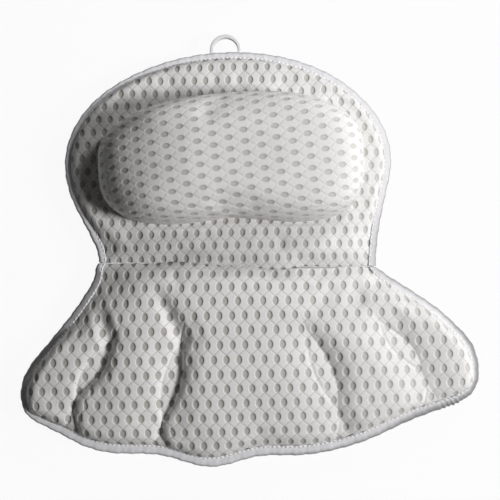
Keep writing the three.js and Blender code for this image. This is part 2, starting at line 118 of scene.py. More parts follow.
# Back panel outline, right half, as (distance from the middle, drop below the seam)
BACK_OUTLINE = [
    (WAIST_HALF_WIDTH, SEAM_MEET),
    (0.156, 0.030),
    (0.186, 0.061),
    (0.210, 0.094),
    (0.207, 0.131),
    (0.167, 0.150),
    (0.128, 0.1635),
    (0.086, 0.1725),
    (0.043, 0.1815),
]
HEM_DROP = 0.178
CORNER_KNOT = 4
OUTER_KNOT = 5
INNER_KNOT = 7
MIDDLE_KNOT = len(BACK_OUTLINE)

# Quilting channels, right half, as (distance, drop) of their seam end, top and pinch
INNER_CHANNEL = [(0.040, SEAM_MEET), (0.058, 0.064), (0.081, 0.140)]
OUTER_CHANNEL = [(0.092, SEAM_MEET), (0.124, 0.061), (0.160, 0.112)]
CHANNEL_RUN_IN = 0.13

# How much wider the left side's shoulder is; by fan line how tightly the right channels are sewn and how much
# wider their shoulders are; and how softly these rise
LEFT_SHOULDER = 1.8
RIGHT_PULLS = {1: 0.68, 2: 0.95}
RIGHT_SHOULDERS = {1: 1.9, 2: 2.6}
RIGHT_SOFTNESS = 0.88

# How much the strips of the left and right channels slope up into the lobe on their left, and over
# what width
LEFT_LEAN = 0.45
RIGHT_LEAN = 0.85
LEAN_RUN = 0.045

# Back panel's rise: the share of its height at the seam and the run up to the whole, where its wings begin,
# the dome's share at the seam, below it and in the wings, and the share of a lobe's height that is left at
# the wings' sides and at the hem, with the run over which it thins out
SEAM_CROWN = 0.8
SEAM_CROWN_RUN = 0.06
WING_START = 0.05
WING_RUN = 0.04
DOME_SHARES = (0.75, 0.3, 0.1)
SIDE_THINNED = 0.8
HEM_THINNED = 0.6
THINNING_RUN = 0.075

# Nicks along the left edge of each channel's strip
NICK_DEPTH = 0.0012
NICK_WIDTH = 0.0018

# Soft creases that run into the tops of the two left channels, as ends of a (distance, drop) line
CREASES = [
    ((-0.0815, 0.021), (-0.056, 0.066)),
    ((-0.140, 0.030), (-0.1265, 0.063)),
]
CREASE_REACH = 0.012

# How the soft panels lie: shift and stretch of the head, draw of the back's left side, hem and left
# shoulder, lift of its left wing, waves of its hem and of the seam, the seam's tilt, and the distances from
# the seam over which the lie comes in and the seam's own wave dies out
HEAD_SHIFT = -0.0065
HEAD_STRETCH = 1.012
LEFT_DRAW = 0.972
HEM_DRAW = 0.982
SHOULDER_DRAW = 0.008
WING_LIFT = 0.006
HEM_WAVE = 0.0027
HEM_CREST = 0.040
HEM_RUN = 0.116
SEAM_WAVE = 0.0022
SEAM_TILT = 0.0045
SEAM_RUN = 0.205
LIE_RUN = 0.065
SEAM_FADE = 0.03

# Edge of the covers: how far the sewn line lies inside the cut edge, how much further at the hem, and how
# far in the hidden edge lies
SEWN_INSET = 0.0053
HEM_WIDENING = 0.0018
TUCK = 0.0015

# Edge tape: its flat part and its room over the covers, the height of its waves, its stations along an edge,
# the stretch at its ends in which it turns along the seam, and how far in from its own edge it is stitched;
# and its gathers round the right wing's tip: a place measured from the waist seam, a reach, a height and a
# spacing
TAPE_FLAT = 0.0048
TAPE_ROOM = 0.0003
TAPE_RUFFLE = 0.0004
TAPE_STATIONS = 900
TAPE_END_TURN = 0.010
STITCH_INSET = 0.0011
GATHERS = (0.1935, -0.130)
GATHER_REACH = 0.011
GATHER_HEIGHT = 0.0012
GATHER_SPACING = 0.0044

# Stitches: their slant to either side, their length as a share of their spacing, their height as a share of
# their width, and how far inside a patch's edge they run
STITCH_SLANT = 0.16
STITCH_SHARE = 0.78
STITCH_FLATNESS = 0.8
PATCH_STITCH_INSET = 0.002

# Neck roll outline, measured from the waist seam
ROLL_HALF_LENGTH = roll_high.x - 0.002
ROLL_UPPER_DEPTH = 0.054
ROLL_LOWER_DEPTH = 0.066
ROLL_MIDDLE = np.array((0.0025, roll_high.y - SEAM_Y - 0.059))
ROLL_LEFT_SQUARENESS = 2.25
ROLL_RIGHT_SQUARENESS = 2.7
ROLL_LOWER_SQUARENESS = 3.6
ROLL_WAIST = 0.0113
ROLL_SADDLE = 0.0015
ROLL_SKEW = 0.0072

# Neck roll's rise: how far out it stays full and how steeply it then falls, as powers for the roll and for
# its left end; and the spacing and height of the small folds along its rims and of the pleats at its ends
ROLL_FULLNESS = (7.5, 2.8)
ROLL_FALL = (0.31, 0.40)
RIM_FOLDS = (0.0042, 0.00045)
END_PLEATS = (0.0058, 0.0003)

# The mesh's holes in its own cell, lying flat and pulled over the roll: half width over the pitch, half
# length over the row spacing
FLAT_HOLE = (0.25, 0.31)
PULLED_HOLE = (0.235, 0.295)
HOLE_ROUNDNESS = 1.8

# Spacing of the holes side by side and of their rows, and how far the roll's rows lie turned
HEAD_PITCH = (0.0104, 0.0119)
BACK_PITCH = (0.0112, 0.0131)
ROLL_PITCH = (0.0102, 0.0138)
ROLL_TURN = math.radians(6)

# Settling of the padded pieces as cloth: how much the cloth grows, the pressure in it, the last frame and the
# furthest that a place may move; and how much of the slopes beside the seam counts when the mesh is laid out
PANEL_GROWTH = 0.008
ROLL_GROWTH = 0.004
PRESSURE = 4.0
LAST_FRAME = 20
SETTLE_REACH = 0.003
SEAM_TAKE_UP = 0.3

# Grid counts; each is a multiple of the coarse step that the cloth is settled on
COARSE_STEP = 7
HEAD_ROWS = (133, 140)
HEAD_COLUMNS = 420
ROLL_ROWS = 210
ROLL_COLUMNS = 392
BACK_ROWS = 266
BACK_COLUMNS = (105, 105, 91)

# Places of the cups, as the frame names them
CUPS = ("head_left", "head_right", "waist_left", "waist_right", "lobe_left", "lobe_right")


class PillowSizes(bpy.types.PropertyGroup):
    """Sizes of the pillow's soft parts"""

    lobe_crown: FloatProperty(
        name="Lobe height", description="Rise of the back panel's lobes over its edge",
        default=0.025, unit="LENGTH",
    )
    lobe_shoulder: FloatProperty(
        name="Lobe shoulder", description="Width over which the back rises from its upper sides",
        default=0.026, unit="LENGTH",
    )
    edge_shoulder: FloatProperty(
        name="Edge shoulder", description="Width over which a thinned-out lobe rises from its tape",
        default=0.011, unit="LENGTH",
    )
    channel_shoulder: FloatProperty(
        name="Channel shoulder", description="Width over which a lobe rises from a quilted channel",
        default=0.012, unit="LENGTH",
    )
    seam_shoulder: FloatProperty(
        name="Seam shoulder", description="Width over which the panels rise from the waist seam",
        default=0.016, unit="LENGTH",
    )
    dome_run: FloatProperty(
        name="Dome", description="Width over which the back panel still rises from its sides",
        default=0.125, unit="LENGTH",
    )
    quilted_rise: FloatProperty(
        name="Channel padding", description="Rise of the quilted channels over the edge",
        default=0.0145, unit="LENGTH",
    )
    channel_half_width: FloatProperty(
        name="Channel half width", description="Half the widest flat strip between two lobes",
        default=0.0085, unit="LENGTH",
    )
    channel_flare: FloatProperty(
        name="Channel flare", description="Half the strip's width where it meets the hem",
        default=0.012, unit="LENGTH",
    )
    crease_depth: FloatProperty(
        name="Crease depth", description="Depth of the soft creases above the left channels",
        default=0.005, unit="LENGTH",
    )
    back_turn: FloatProperty(
        name="Back panel turn", description="How far the soft back panel lies turned in its plane",
        default=math.radians(3.0), subtype="ANGLE",
    )
    band_crown: FloatProperty(
        name="Band height", description="Rise of the head panel round the neck roll",
        default=0.0092, unit="LENGTH",
    )
    band_shoulder: FloatProperty(
        name="Band shoulder", description="Width over which the head panel rises from its sewn edge",
        default=0.008, unit="LENGTH",
    )
    band_dip: FloatProperty(
        name="Band dip", description="Width over which the head panel dips towards the neck roll",
        default=0.007, unit="LENGTH",
    )
    under_roll: FloatProperty(
        name="Padding under the roll", description="Rise of the head panel where the roll is sewn on",
        default=0.0072, unit="LENGTH",
    )
    roll_crown: FloatProperty(
        name="Roll height", description="Height of the neck roll over the head panel",
        default=0.056, unit="LENGTH",
    )
    hole_depth: FloatProperty(
        name="Hole depth", description="Depth of the mesh's holes", default=0.0009, unit="LENGTH",
    )
    tape_wrap: FloatProperty(
        name="Tape width", description="How far the edge tape reaches over each cover",
        default=0.0058, unit="LENGTH",
    )
    tape_thickness: FloatProperty(
        name="Tape thickness", description="Thickness of the edge tape", default=0.0012, unit="LENGTH",
    )
    stitch_length: FloatProperty(
        name="Stitch", description="Length of one stitch on the edge tape", default=0.0040, unit="LENGTH",
    )
    thread: FloatProperty(
        name="Thread", description="Thickness of the sewing thread", default=0.0015, unit="LENGTH",
    )


class PillowColours(bpy.types.PropertyGroup):
    """Colours of the pillow's fabrics and cups"""

    cloth: FloatVectorProperty(
        name="Mesh", description="Face of the spacer mesh", subtype="COLOR", size=4,
        default=(0.84, 0.832, 0.82, 1.0),
    )
    # Holes: the inner layer seen through the mesh, darkened as painted shade inside the holes
    hole: FloatVectorProperty(
        name="Holes", description="Inside of the mesh's holes", subtype="COLOR", size=4,
        default=(0.46, 0.445, 0.415, 1.0),
    )
    tape: FloatVectorProperty(
        name="Tape", description="Edge tape and hanging loop", subtype="COLOR", size=4,
        default=(0.93, 0.92, 0.945, 1.0),
    )
    thread: FloatVectorProperty(
        name="Thread", description="Sewing thread", subtype="COLOR", size=4,
        default=(0.95, 0.95, 0.95, 1.0),
    )
    patch: FloatVectorProperty(
        name="Patch", description="Coated cloth round each suction cup", subtype="COLOR", size=4,
        default=(0.70, 0.69, 0.66, 1.0),
    )
    pvc: FloatVectorProperty(
        name="Cups", description="Clear soft plastic of the cups", subtype="COLOR", size=4,
        default=(0.90, 0.94, 0.95, 1.0),
    )


# Shader values

class Value:
    """A number that changes over a surface; an expression on values adds its Math nodes"""

    def __init__(self, nodes, socket):
        self.nodes = nodes
        self.socket = socket

    def math(self, operation, *others):
        """This value and the others through a Math node"""
        inputs = dict(enumerate((self, *others)))
        return self.nodes.add("ShaderNodeMath", {"operation": operation}, inputs)

    def __add__(self, other):
        return self.math("ADD", other)

    def __sub__(self, other):
        return self.math("SUBTRACT", other)

    def __rsub__(self, other):
        return self * -1 + other

    def __mul__(self, other):
        return self.math("MULTIPLY", other)

    def __truediv__(self, other):
        return self.math("DIVIDE", other)

    def __mod__(self, other):
        return self.math("FLOORED_MODULO", other)

    def __abs__(self):
        return self.math("ABSOLUTE")

    def __round__(self):
        return self.math("ROUND")

    __radd__ = __add__
    __rmul__ = __mul__


class Nodes:
    """A node tree being made: nodes are added one by one and fed"""

    def __init__(self, tree):
        self.tree = tree

    def add(self, kind, settings=None, inputs=None, output=0):
        """A new node of that kind with its settings and inputs, as the value of one of its outputs"""
        node = self.tree.nodes.new(kind)
        for key, setting in (settings or {}).items():
            setattr(node, key, setting)
        self.feed(node, inputs or {})
        return Value(self, node.outputs[output])

    def feed(self, node, inputs):
        """Put numbers, colours or values on a node's inputs"""
        for key, given in inputs.items():
            if isinstance(given, Value):
                self.tree.links.new(given.socket, node.inputs[key])
            else:
                node.inputs[key].default_value = given

    def seen(self):
        """1 where the camera looks, straight or by way of gloss or glass, and 0 for light"""
        rays = ("Is Camera Ray", "Is Glossy Ray", "Is Transmission Ray")
        camera, glossy, through = (self.add("ShaderNodeLightPath", {}, {}, ray) for ray in rays)
        return camera.math("MAXIMUM", glossy).math("MAXIMUM", through)


class Finish(Nodes):
    """A material being made, whose nodes feed its shader"""

    def __init__(self, name):
        self.material = bpy.data.materials.new(name)
        self.material.use_nodes = True
        super().__init__(self.material.node_tree)
        self.shader = self.tree.nodes["Principled BSDF"]

    def part(self, vector, axis):
        """A vector's X (0), Y (1) or Z (2)"""
        return self.add("ShaderNodeSeparateXYZ", {}, {0: vector}, axis)

    def fade(self, value, start, end):
        """0 at start and before it, 1 at end and past it"""
        inputs = {"Value": value, "From Min": start, "From Max": end}
        return self.add("ShaderNodeMapRange", {"interpolation_type": "SMOOTHSTEP"}, inputs)

    def blend(self, share, first, second):
        """The first colour turning into the second with the share"""
        return self.add("ShaderNodeMix", {"data_type": "RGBA"}, {0: share, 6: first, 7: second}, 2)

    def noise(self, scale, detail):
        """Cloudy variation over the piece, scale clouds to the metre"""
        place = self.add("ShaderNodeTexCoord", {}, {}, "Object")
        return self.add("ShaderNodeTexNoise", {}, {"Vector": place, "Scale": scale, "Detail": detail})

    def bump(self, height, strength, distance):
        """Normals of a surface with that height"""
        inputs = {"Height": height, "Strength": strength, "Distance": distance}
        return self.add("ShaderNodeBump", {}, inputs)

    def done(self, **inputs):
        """The material with the shader's inputs, named with _ for a space"""
        self.feed(self.shader, {key.replace("_", " "): given for key, given in inputs.items()})
        return self.material


def shaded(colour, share):
    """The same colour at a share of its strength"""
    return (*(c * share for c in colour[:3]), 1.0)


def knitted_mesh(colours, name="knitted_mesh", contrast=1.0, size=FLAT_HOLE):
    """Knitted spacer mesh: staggered lens holes with painted shade inside, joined by fine zigzag grooves;
    holes and grooves painted paler to the right as painted light
    """
    half_width, half_length = size
    finish = Finish(name)
    place = finish.add("ShaderNodeTexCoord", {}, {}, "Object")
    # Painted light: the holes and grooves are painted paler towards the right, the side that the lamps light
    painted_light_paling = finish.fade(finish.part(place, 0), -0.10, 0.20)
    depth = 1 - painted_light_paling * 0.45
    cloth = finish.add("ShaderNodeUVMap", {"uv_map": "cloth"})
    across, along = finish.part(cloth, 0), finish.part(cloth, 1)
    row = round(along)
    ahead = along - row
    beside = across - (row % 2) * 0.5
    beside = abs(beside - round(beside))
    wide = (beside / half_width).math("POWER", HOLE_ROUNDNESS)
    lens = wide + (abs(ahead) / half_length).math("POWER", 2)
    # Hole mask: the holes take the hole colour, which is partly painted shade inside them
    hole = finish.fade(lens, 1.15, 0.85)
    run = (abs(ahead) - half_length) / (1 - 2 * half_length)
    outside = finish.fade(abs(ahead), half_length * 0.85, half_length * 1.1)
    aside = abs(beside - run * 0.5)
    groove = finish.fade(aside, 0.085, 0.03) * outside
    valley = finish.fade(aside, 0.22, 0.0) * outside
    knit = (across * 44 + along * 6).math("SINE") * (along * 51).math("SINE")
    tone = finish.noise(22, 4) * 0.08 + finish.noise(520, 3) * 0.16 + 0.88
    face = finish.blend(groove * depth * (0.44 * contrast ** 2), colours.cloth, shaded(colours.hole, 0.65))
    face = finish.blend(finish.fade(knit, -0.2, 0.9) * 0.16, face, colours.hole)
    # The holes in their dark colour, painted paler to the right as painted light
    holes_in_painted_light = finish.blend(hole * depth * contrast, face, colours.hole)
    toned = finish.add(
        "ShaderNodeMix", {"data_type": "RGBA", "blend_type": "MULTIPLY"},
        {0: 1.0, 6: holes_in_painted_light, 7: finish.add("ShaderNodeCombineColor", {}, {0: tone, 1: tone, 2: tone})}, 2,
    )
    height = knit * 0.12 - valley * 0.35 - hole * 0.5
    return finish.done(
        Base_Color=toned, Roughness=0.88, Specular_IOR_Level=0.25, Sheen_Weight=0.15,
        Normal=finish.bump(height, 0.55, 0.0006),
    )


def stretched_mesh(colours):
    """The same mesh pulled tight, so that its holes show less"""
    return knitted_mesh(colours, "stretched_mesh", 0.75, PULLED_HOLE)


def edge_tape(colours):
    """Woven tape with fine diagonal ribs, and painted shade on its outer fold"""
    finish = Finish("edge_tape")
    cloth = finish.add("ShaderNodeUVMap", {"uv_map": "cloth"})
    along, across = finish.part(cloth, 0), finish.part(cloth, 1)
    rib = ((along + across) * 6.0).math("SINE")
    weft = (across * 14.0).math("SINE")
    tone = finish.noise(90, 3)
    ribbed = finish.blend(finish.fade(rib, -0.2, 0.8) * 0.14, colours.tape, shaded(colours.tape, 0.6))
    # Painted shade: the tape darkens towards its outer fold, down to a fifth of its colour
    fold = finish.fade(across, 3.2, 8.0) * 0.9
    ribbed = finish.blend(fold, ribbed, shaded(colours.tape, 0.2))
    colour = finish.blend(tone * 0.2, ribbed, shaded(colours.tape, 0.75))
    height = rib * 0.5 + weft * 0.3 + tone
    return finish.done(
        Base_Color=colour, Roughness=0.7, Specular_IOR_Level=0.3, Sheen_Weight=0.2,
        Normal=finish.bump(height, 0.4, 0.0004),
    )


def sewing_thread(colours):
    """Twisted white thread"""
    finish = Finish("sewing_thread")
    tone = finish.noise(900, 2)
    colour = finish.blend(tone * 0.3, colours.thread, shaded(colours.thread, 0.7))
    return finish.done(
        Base_Color=colour, Roughness=0.6, Normal=finish.bump(tone, 0.3, 0.0002),
    )


def coated_cloth(colours):
    """Plain woven cloth with a dull coat"""
    finish = Finish("coated_cloth")
    place = finish.add("ShaderNodeTexCoord", {}, {}, "Object")
    warp = (finish.part(place, 0) * 5200).math("SINE")
    weft = (finish.part(place, 1) * 5200).math("SINE")
    weave = warp * weft
    tone = finish.noise(60, 3)
    colour = finish.blend(finish.fade(weave, -0.4, 0.8) * 0.25 + tone * 0.15, colours.patch,
                          shaded(colours.patch, 0.7))
    return finish.done(
        Base_Color=colour, Roughness=0.55 + tone * 0.15,
        Normal=finish.bump(weave + tone * 0.5, 0.35, 0.0003),
    )


def clear_pvc(colours):
    """Soft clear plastic, slightly hazy and fingered"""
    finish = Finish("clear_pvc")
    haze = finish.noise(45, 3)
    return finish.done(
        Base_Color=finish.blend(haze * 0.3, colours.pvc, shaded(colours.pvc, 0.86)),
        Roughness=haze * 0.14 + 0.08, IOR=1.5, Transmission_Weight=0.85,
        Normal=finish.bump(haze, 0.12, 0.0006),
    )


def made_once(finish, colours):
    """The material of a finish, kept under the finish's own name"""
    return bpy.data.materials.get(finish.__name__) or finish(colours)


# Curves and profiles

def mix(first, second, share):
    """First turning into second with the share"""
    return first + (second - first) * share


def smooth(value):
    """0 up to 0 and 1 from 1 on, with a soft step between"""
    value = np.clip(value, 0, 1)
    return value * value * (3 - 2 * value)


def past(value, start, run):
    """0 up to a start, and softly 1 a run past it"""
    return smooth((value - start) / run)


def swell(distance, width):
    """Quarter-ellipse rise of a stuffed skin beside a sewn line"""
    return np.sqrt(np.maximum(1 - (1 - np.clip(distance / width, 0, 1)) ** 2, 0))


def soft_swell(distance, width, softness=0.55):
    """Rise of a stuffed skin beside a sewn edge, less steep at the edge itself"""
    share = np.clip(distance / width, 0, 1)
    return mix(swell(share, 1), np.sin(share * math.pi / 2), softness)


def edge_swell(distance, thinned, sizes):
    """Rise of a lobe that thins out towards its edge, to that share of its height"""
    return swell(distance, sizes.edge_shoulder) * mix(thinned, 1, smooth(distance / THINNING_RUN))


def seam_swell(distance, sizes):
    """Softer rise of a cover beside the waist seam"""
    return soft_swell(distance, sizes.seam_shoulder, 0.6)


def spline(points, knots):
    """Places at the knots of a smooth line through the points"""
    points = np.asarray(points, float)
    last = len(points) - 1
    start = np.clip(np.floor(knots).astype(int), 0, last - 1)
    share = (knots - start)[..., None]
    before, here = points[np.maximum(start - 1, 0)], points[start]
    there, after = points[start + 1], points[np.minimum(start + 2, last)]
    leave, arrive = (there - before) / 2, (after - here) / 2
    cubic = 2 * (here - there) + leave + arrive
    square = 3 * (there - here) - 2 * leave - arrive
    return here + leave * share + square * share ** 2 + cubic * share ** 3


def length_along(line):
    """Length of a sampled line up to each of its places"""
    return np.concatenate([[0], np.cumsum(np.linalg.norm(np.diff(line, axis=0), axis=1))])


def evenly_along(line, shares):
    """Places at shares of a sampled line's length"""
    length = length_along(line)
    places = shares * length[-1]
    return np.stack([np.interp(places, length, line[:, k]) for k in range(line.shape[1])], axis=-1)


def outwards(line, side):
    """Unit normals of a sampled line, to its left (1) or right (-1)"""
    run = np.gradient(line, axis=0)
    run /= np.linalg.norm(run, axis=1)[:, None]
    return side * np.stack([-run[:, 1], run[:, 0]], axis=1)


# Head panel plan

def necking_line(shares):
    """Right side of the head panel from the waist to its widest level"""
    ends = np.array([
        (WAIST_HALF_WIDTH, SEAM_MEET),
        (WAIST_HALF_WIDTH, SEAM_MEET + NECKING),
        (HEAD_HALF_WIDTH, HEAD_WIDEST - NECKING),
        (HEAD_HALF_WIDTH, HEAD_WIDEST),
    ])
    t = shares[:, None]
    return ((1 - t) ** 3 * ends[0] + 3 * (1 - t) ** 2 * t * ends[1]
            + 3 * (1 - t) * t ** 2 * ends[2] + t ** 3 * ends[3])


def head_edge(count):
    """Cut edge of the head panel, from the right end of the waist round the crown to the left end"""
    side = necking_line(np.linspace(0, 1, count))[:-1]
    turn = np.linspace(0, math.pi, 2 * count)
    rise = HEAD_HEIGHT - HEAD_WIDEST
    crown = np.stack([HEAD_HALF_WIDTH * np.cos(turn), HEAD_WIDEST + rise * np.sin(turn)], axis=1)
    return np.concatenate([side, crown, side[::-1] * (-1, 1)])


def head_plan():
    """Grid of places over the head panel, rows running up from the seam"""
    across = np.linspace(-1, 1, HEAD_COLUMNS + 1)
    side = necking_line(np.linspace(0, 1, HEAD_ROWS[0] + 1))[:-1] - (TUCK, 0)
    lower = np.stack([side[:, :1] * across, np.repeat(side[:, 1:], across.size, axis=1)], axis=2)
    up = np.linspace(0, 1, HEAD_ROWS[1] + 1)[:, None]
    rise = HEAD_HEIGHT - HEAD_WIDEST - TUCK
    upper = np.stack([
        (HEAD_HALF_WIDTH - TUCK) * across * np.sqrt(1 - up ** 2 / 2),
        HEAD_WIDEST + rise * up * np.sqrt(1 - across ** 2 / 2),
    ], axis=2)
    return np.concatenate([lower, upper])


def roll_squareness(aside, up):
    """How square the roll's outline is towards a side"""
    upper = mix(ROLL_LEFT_SQUARENESS, ROLL_RIGHT_SQUARENESS, smooth(aside + 0.5))
    return np.where(up < 0, ROLL_LOWER_SQUARENESS, upper)


def roll_depth(up):
    """How far the roll reaches up or down from its middle"""
    return np.where(up < 0, ROLL_LOWER_DEPTH, ROLL_UPPER_DEPTH)


def from_roll(plan):
    """Distances of places from the roll's middle and the unit rays to them"""
    offset = plan - ROLL_MIDDLE
    distance = np.linalg.norm(offset, axis=2)
    return distance, offset / np.maximum(distance, 1e-6)[..., None]


def roll_reach(ray):
    """Distance from the roll's middle to its rim along unit rays"""
    n = roll_squareness(ray[..., 0], ray[..., 1])
    along = np.abs(ray[..., 0] / ROLL_HALF_LENGTH) ** n
    across = np.abs(ray[..., 1] / roll_depth(ray[..., 1])) ** n
    drawn_in = ROLL_WAIST * np.maximum(-ray[..., 1], 0) ** 2
    return (along + across) ** (-1 / n) - drawn_in


def head_rise(plan, sizes):
    """Height of the head panel's front over its edge: a padded band round the roll"""
    distance, ray = from_roll(plan)
    ring = head_edge(200) - ROLL_MIDDLE
    bearing = np.arctan2(ring[:, 1], ring[:, 0])
    order = np.argsort(bearing)
    reach = np.interp(np.arctan2(ray[..., 1], ray[..., 0]), bearing[order],
                      np.linalg.norm(ring, axis=1)[order], period=2 * math.pi)
    side = necking_line(np.linspace(0, 1, 200))
    beside = np.interp(plan[..., 1], side[:, 1], side[:, 0]) - np.abs(plan[..., 0])
    to_edge = np.where(plan[..., 1] < HEAD_WIDEST, beside, reach - distance)
    to_edge = np.maximum(to_edge - SEWN_INSET, 0)
    seam = seam_swell(plan[..., 1], sizes)
    from_rim = distance - roll_reach(ray)
    low = smooth((LOW_TOP - plan[..., 1]) / LOW_RUN)
    crown = mix(sizes.band_crown, sizes.lobe_crown * LOW_CROWN, low)
    vault = 1 - np.clip(plan[..., 0] / (WAIST_HALF_WIDTH - SEWN_INSET), -1, 1) ** 2
    dipped = crown * mix(ROLL_DIP, 1, smooth(from_rim / sizes.band_dip))
    band = mix(sizes.under_roll, dipped, smooth(1 + from_rim / ROLL_SINK))
    shoulder = mix(sizes.band_shoulder, LOW_SHOULDER, low)
    return band * seam * swell(to_edge, shoulder) * mix(1, vault, LOW_VAULT * low)


# Back panel plan

whole_outline = [*BACK_OUTLINE, (0, HEM_DROP), *((-x, drop) for x, drop in reversed(BACK_OUTLINE))]


def back_edge(knots, inset):
    """Places beside the cut edge at knots counted from the right end of the waist"""
    nudge = 1e-3
    low, high = np.maximum(knots - nudge, 0), np.minimum(knots + nudge, len(whole_outline) - 1)
    points = np.array(whole_outline) * (1, -1)
    run = spline(points, high) - spline(points, low)
    run /= np.linalg.norm(run, axis=-1)[..., None]
    outward = np.stack([-run[..., 1], run[..., 0]], axis=-1)
    return spline(points, knots) - outward * inset


def channel_line(channel, foot, count):
    """A channel from the seam through its top and its pinch to its foot at the hem"""
    points = [(x, -drop) for x, drop in channel] + [tuple(foot)]
    return spline(points, np.linspace(0, 3, count))


def fan_lines(downs):
    """Lines from the seam to the hem: the middle, the two right channels and the right side"""
    foot = back_edge(np.array([MIDDLE_KNOT, INNER_KNOT, OUTER_KNOT], float), TUCK)
    middle = np.stack([0 * downs, mix(-SEAM_MEET, foot[0, 1], downs)], axis=1)
    inner = evenly_along(channel_line(INNER_CHANNEL, foot[1], 400), downs)
    outer = evenly_along(channel_line(OUTER_CHANNEL, foot[2], 400), downs)
    return np.array([middle, inner, outer, back_edge(CORNER_KNOT * downs, TUCK)])


def channel_shares(channel, foot):
    """Shares of a channel's length at its top and its pinch"""
    length = length_along(channel_line(channel, foot, 301))
    return length[100] / length[-1], length[200] / length[-1]


def fan_plan(fans, downs):
    """Grid of places over the back panel; fans count the fan lines outwards from the middle"""
    lines = fan_lines(downs)
    span = np.minimum(np.abs(fans).astype(int), 2)
    share = (np.abs(fans) - span)[None, :, None]
    across = mix(lines[span], lines[span + 1], share.transpose(1, 0, 2)).transpose(1, 0, 2)
    feet = np.array([MIDDLE_KNOT, INNER_KNOT, OUTER_KNOT, CORNER_KNOT], float)
    hem = back_edge(mix(feet[span], feet[span + 1], share[0, :, 0]), TUCK)
    plan = across + (hem - across[-1]) * downs[:, None, None]
    plan[..., 0] *= np.where(fans < 0, -1, 1)
    return plan


def back_fans():
    """Counts of the back's grid columns in fan lines, from the left side to the right side"""
    right = np.concatenate([
        span + np.linspace(0, 1, count + 1)[1:] for span, count in enumerate(BACK_COLUMNS)
    ])
    return np.concatenate([-right[::-1], [0], right])


def along_line(plan, first, last):
    """Distance of each place from a straight line's stretch, and its share of that stretch"""
    first, last = np.array(first), np.array(last)
    run = last - first
    share = np.clip(((plan - first) @ run) / (run @ run), 0, 1)
    return np.linalg.norm(plan - first - share[..., None] * run, axis=-1), share


def back_rise(plan, fans, downs, sizes):
    """Height of the back panel's front over its edge, five lobes between quilted channels, and how free of
    sewn lines each place is"""
    feet = back_edge(np.array([INNER_KNOT, OUTER_KNOT], float), TUCK)
    hidden = SEWN_INSET - TUCK
    to_hem = np.maximum(np.linalg.norm(plan - plan[-1], axis=2) - hidden - HEM_WIDENING, 0)
    side = np.where(fans[None, :, None] < 0, plan[:, :1], plan[:, -1:])
    to_side = np.maximum(np.linalg.norm(plan - side, axis=2) - hidden, 0)
    to_seam = np.linalg.norm(plan - plan[0], axis=2)
    seam = seam_swell(to_seam, sizes) * mix(SEAM_CROWN, 1, smooth(to_seam / SEAM_CROWN_RUN))
    vault = 1 - (1 - np.clip(to_side / sizes.dome_run, 0, 1)) ** 2
    wing = past(to_seam, WING_START, WING_RUN)
    flank_width = sizes.lobe_shoulder * np.where(fans < 0, LEFT_SHOULDER, 1)
    flank = mix(soft_swell(to_side, flank_width), edge_swell(to_side, SIDE_THINNED, sizes), wing)
    at_seam, below, in_wing = DOME_SHARES
    dome = mix(flank, vault, mix(mix(at_seam, below, past(to_seam, 0.01, 0.05)), in_wing, wing))
    base = seam * dome * edge_swell(to_hem, HEM_THINNED, sizes)
    lobe, held = np.ones_like(base), np.ones_like(base)
    nicks = np.zeros_like(base)
    for fan, channel, foot in ((1, INNER_CHANNEL, feet[0]), (2, OUTER_CHANNEL, feet[1])):
        top, pinch = channel_shares(channel, foot)
        leaf = np.sin(math.pi * np.clip((downs - top) / (pinch - top), 0, 1))
        flare = np.clip((downs - pinch) / (1 - pinch), 0, 1) ** 2
        strip = (sizes.channel_half_width * leaf + sizes.channel_flare * flare)[:, None]
        sewn = smooth((downs - top + CHANNEL_RUN_IN) / (2 * CHANNEL_RUN_IN))[:, None]
        for line in (-fan, fan):
            column = int(np.argmin(np.abs(fans - line)))
            seat = plan[:, column:column + 1]
            apart = np.linalg.norm(plan - seat, axis=2)
            aside = np.where(plan[..., 0] < seat[..., 0], -apart, apart)
            shoulder = sizes.channel_shoulder * RIGHT_SHOULDERS.get(line, 1)
            clear = np.maximum(apart - strip, 0)
            steep = swell(clear, shoulder) if line < 0 else soft_swell(clear, shoulder, RIGHT_SOFTNESS)
            ramp = np.sin(np.clip((strip - aside) / LEAN_RUN, 0, 1) * math.pi / 2)
            pull, lean = (sewn, LEFT_LEAN) if line < 0 else (sewn * RIGHT_PULLS[line], RIGHT_LEAN)
            lobe *= 1 - pull * (1 - mix(steep, np.where(aside > strip, steep, ramp), lean))
            held *= 1 - pull * (1 - steep)
            nicks += pull * lean * np.exp(-((aside + strip) / NICK_WIDTH) ** 2) * smooth(strip / 0.004)
    rise = base * mix(sizes.quilted_rise, sizes.lobe_crown, lobe) - NICK_DEPTH * nicks * smooth(base * 4)
    for (x0, drop0), (x1, drop1) in CREASES:
        away, share = along_line(plan, (x0, -drop0), (x1, -drop1))
        depth = sizes.crease_depth * smooth(share * 1.5 + 0.15)
        rise -= depth * (1 - smooth(away / CREASE_REACH)) * np.clip(rise / 0.015, 0, 1)
    return rise, base * held


def lain(plan, sizes):
    """The back panel's plan as it lies: its left side and hem drawn in, turned a little below the seam"""
    x, y = plan[..., 0], plan[..., 1]
    lying = smooth(-y / LIE_RUN)
    turn = sizes.back_turn * lying
    c, s = np.cos(turn), np.sin(turn)
    x = x * np.where(x < 0, mix(1, LEFT_DRAW, lying), 1)
    at_shoulder = smooth(-y / 0.016) * (1 - 0.85 * past(-y, 0.03, 0.045))
    x = x + SHOULDER_DRAW * smooth(-x / 0.12) * at_shoulder
    lift = WING_LIFT * past(-x, 0.15, 0.05) * past(-y, 0.085, 0.045)
    at_hem = past(-y, 0.12, 0.045)
    y = y * HEM_DRAW + lift
    x, y = x * c - y * s, x * s + y * c
    wave = HEM_WAVE * (0.2 + np.cos((x - HEM_CREST) / HEM_RUN * 2 * math.pi))
    return np.stack([x, y + wave * at_hem + seam_wave(x, y)], axis=-1)


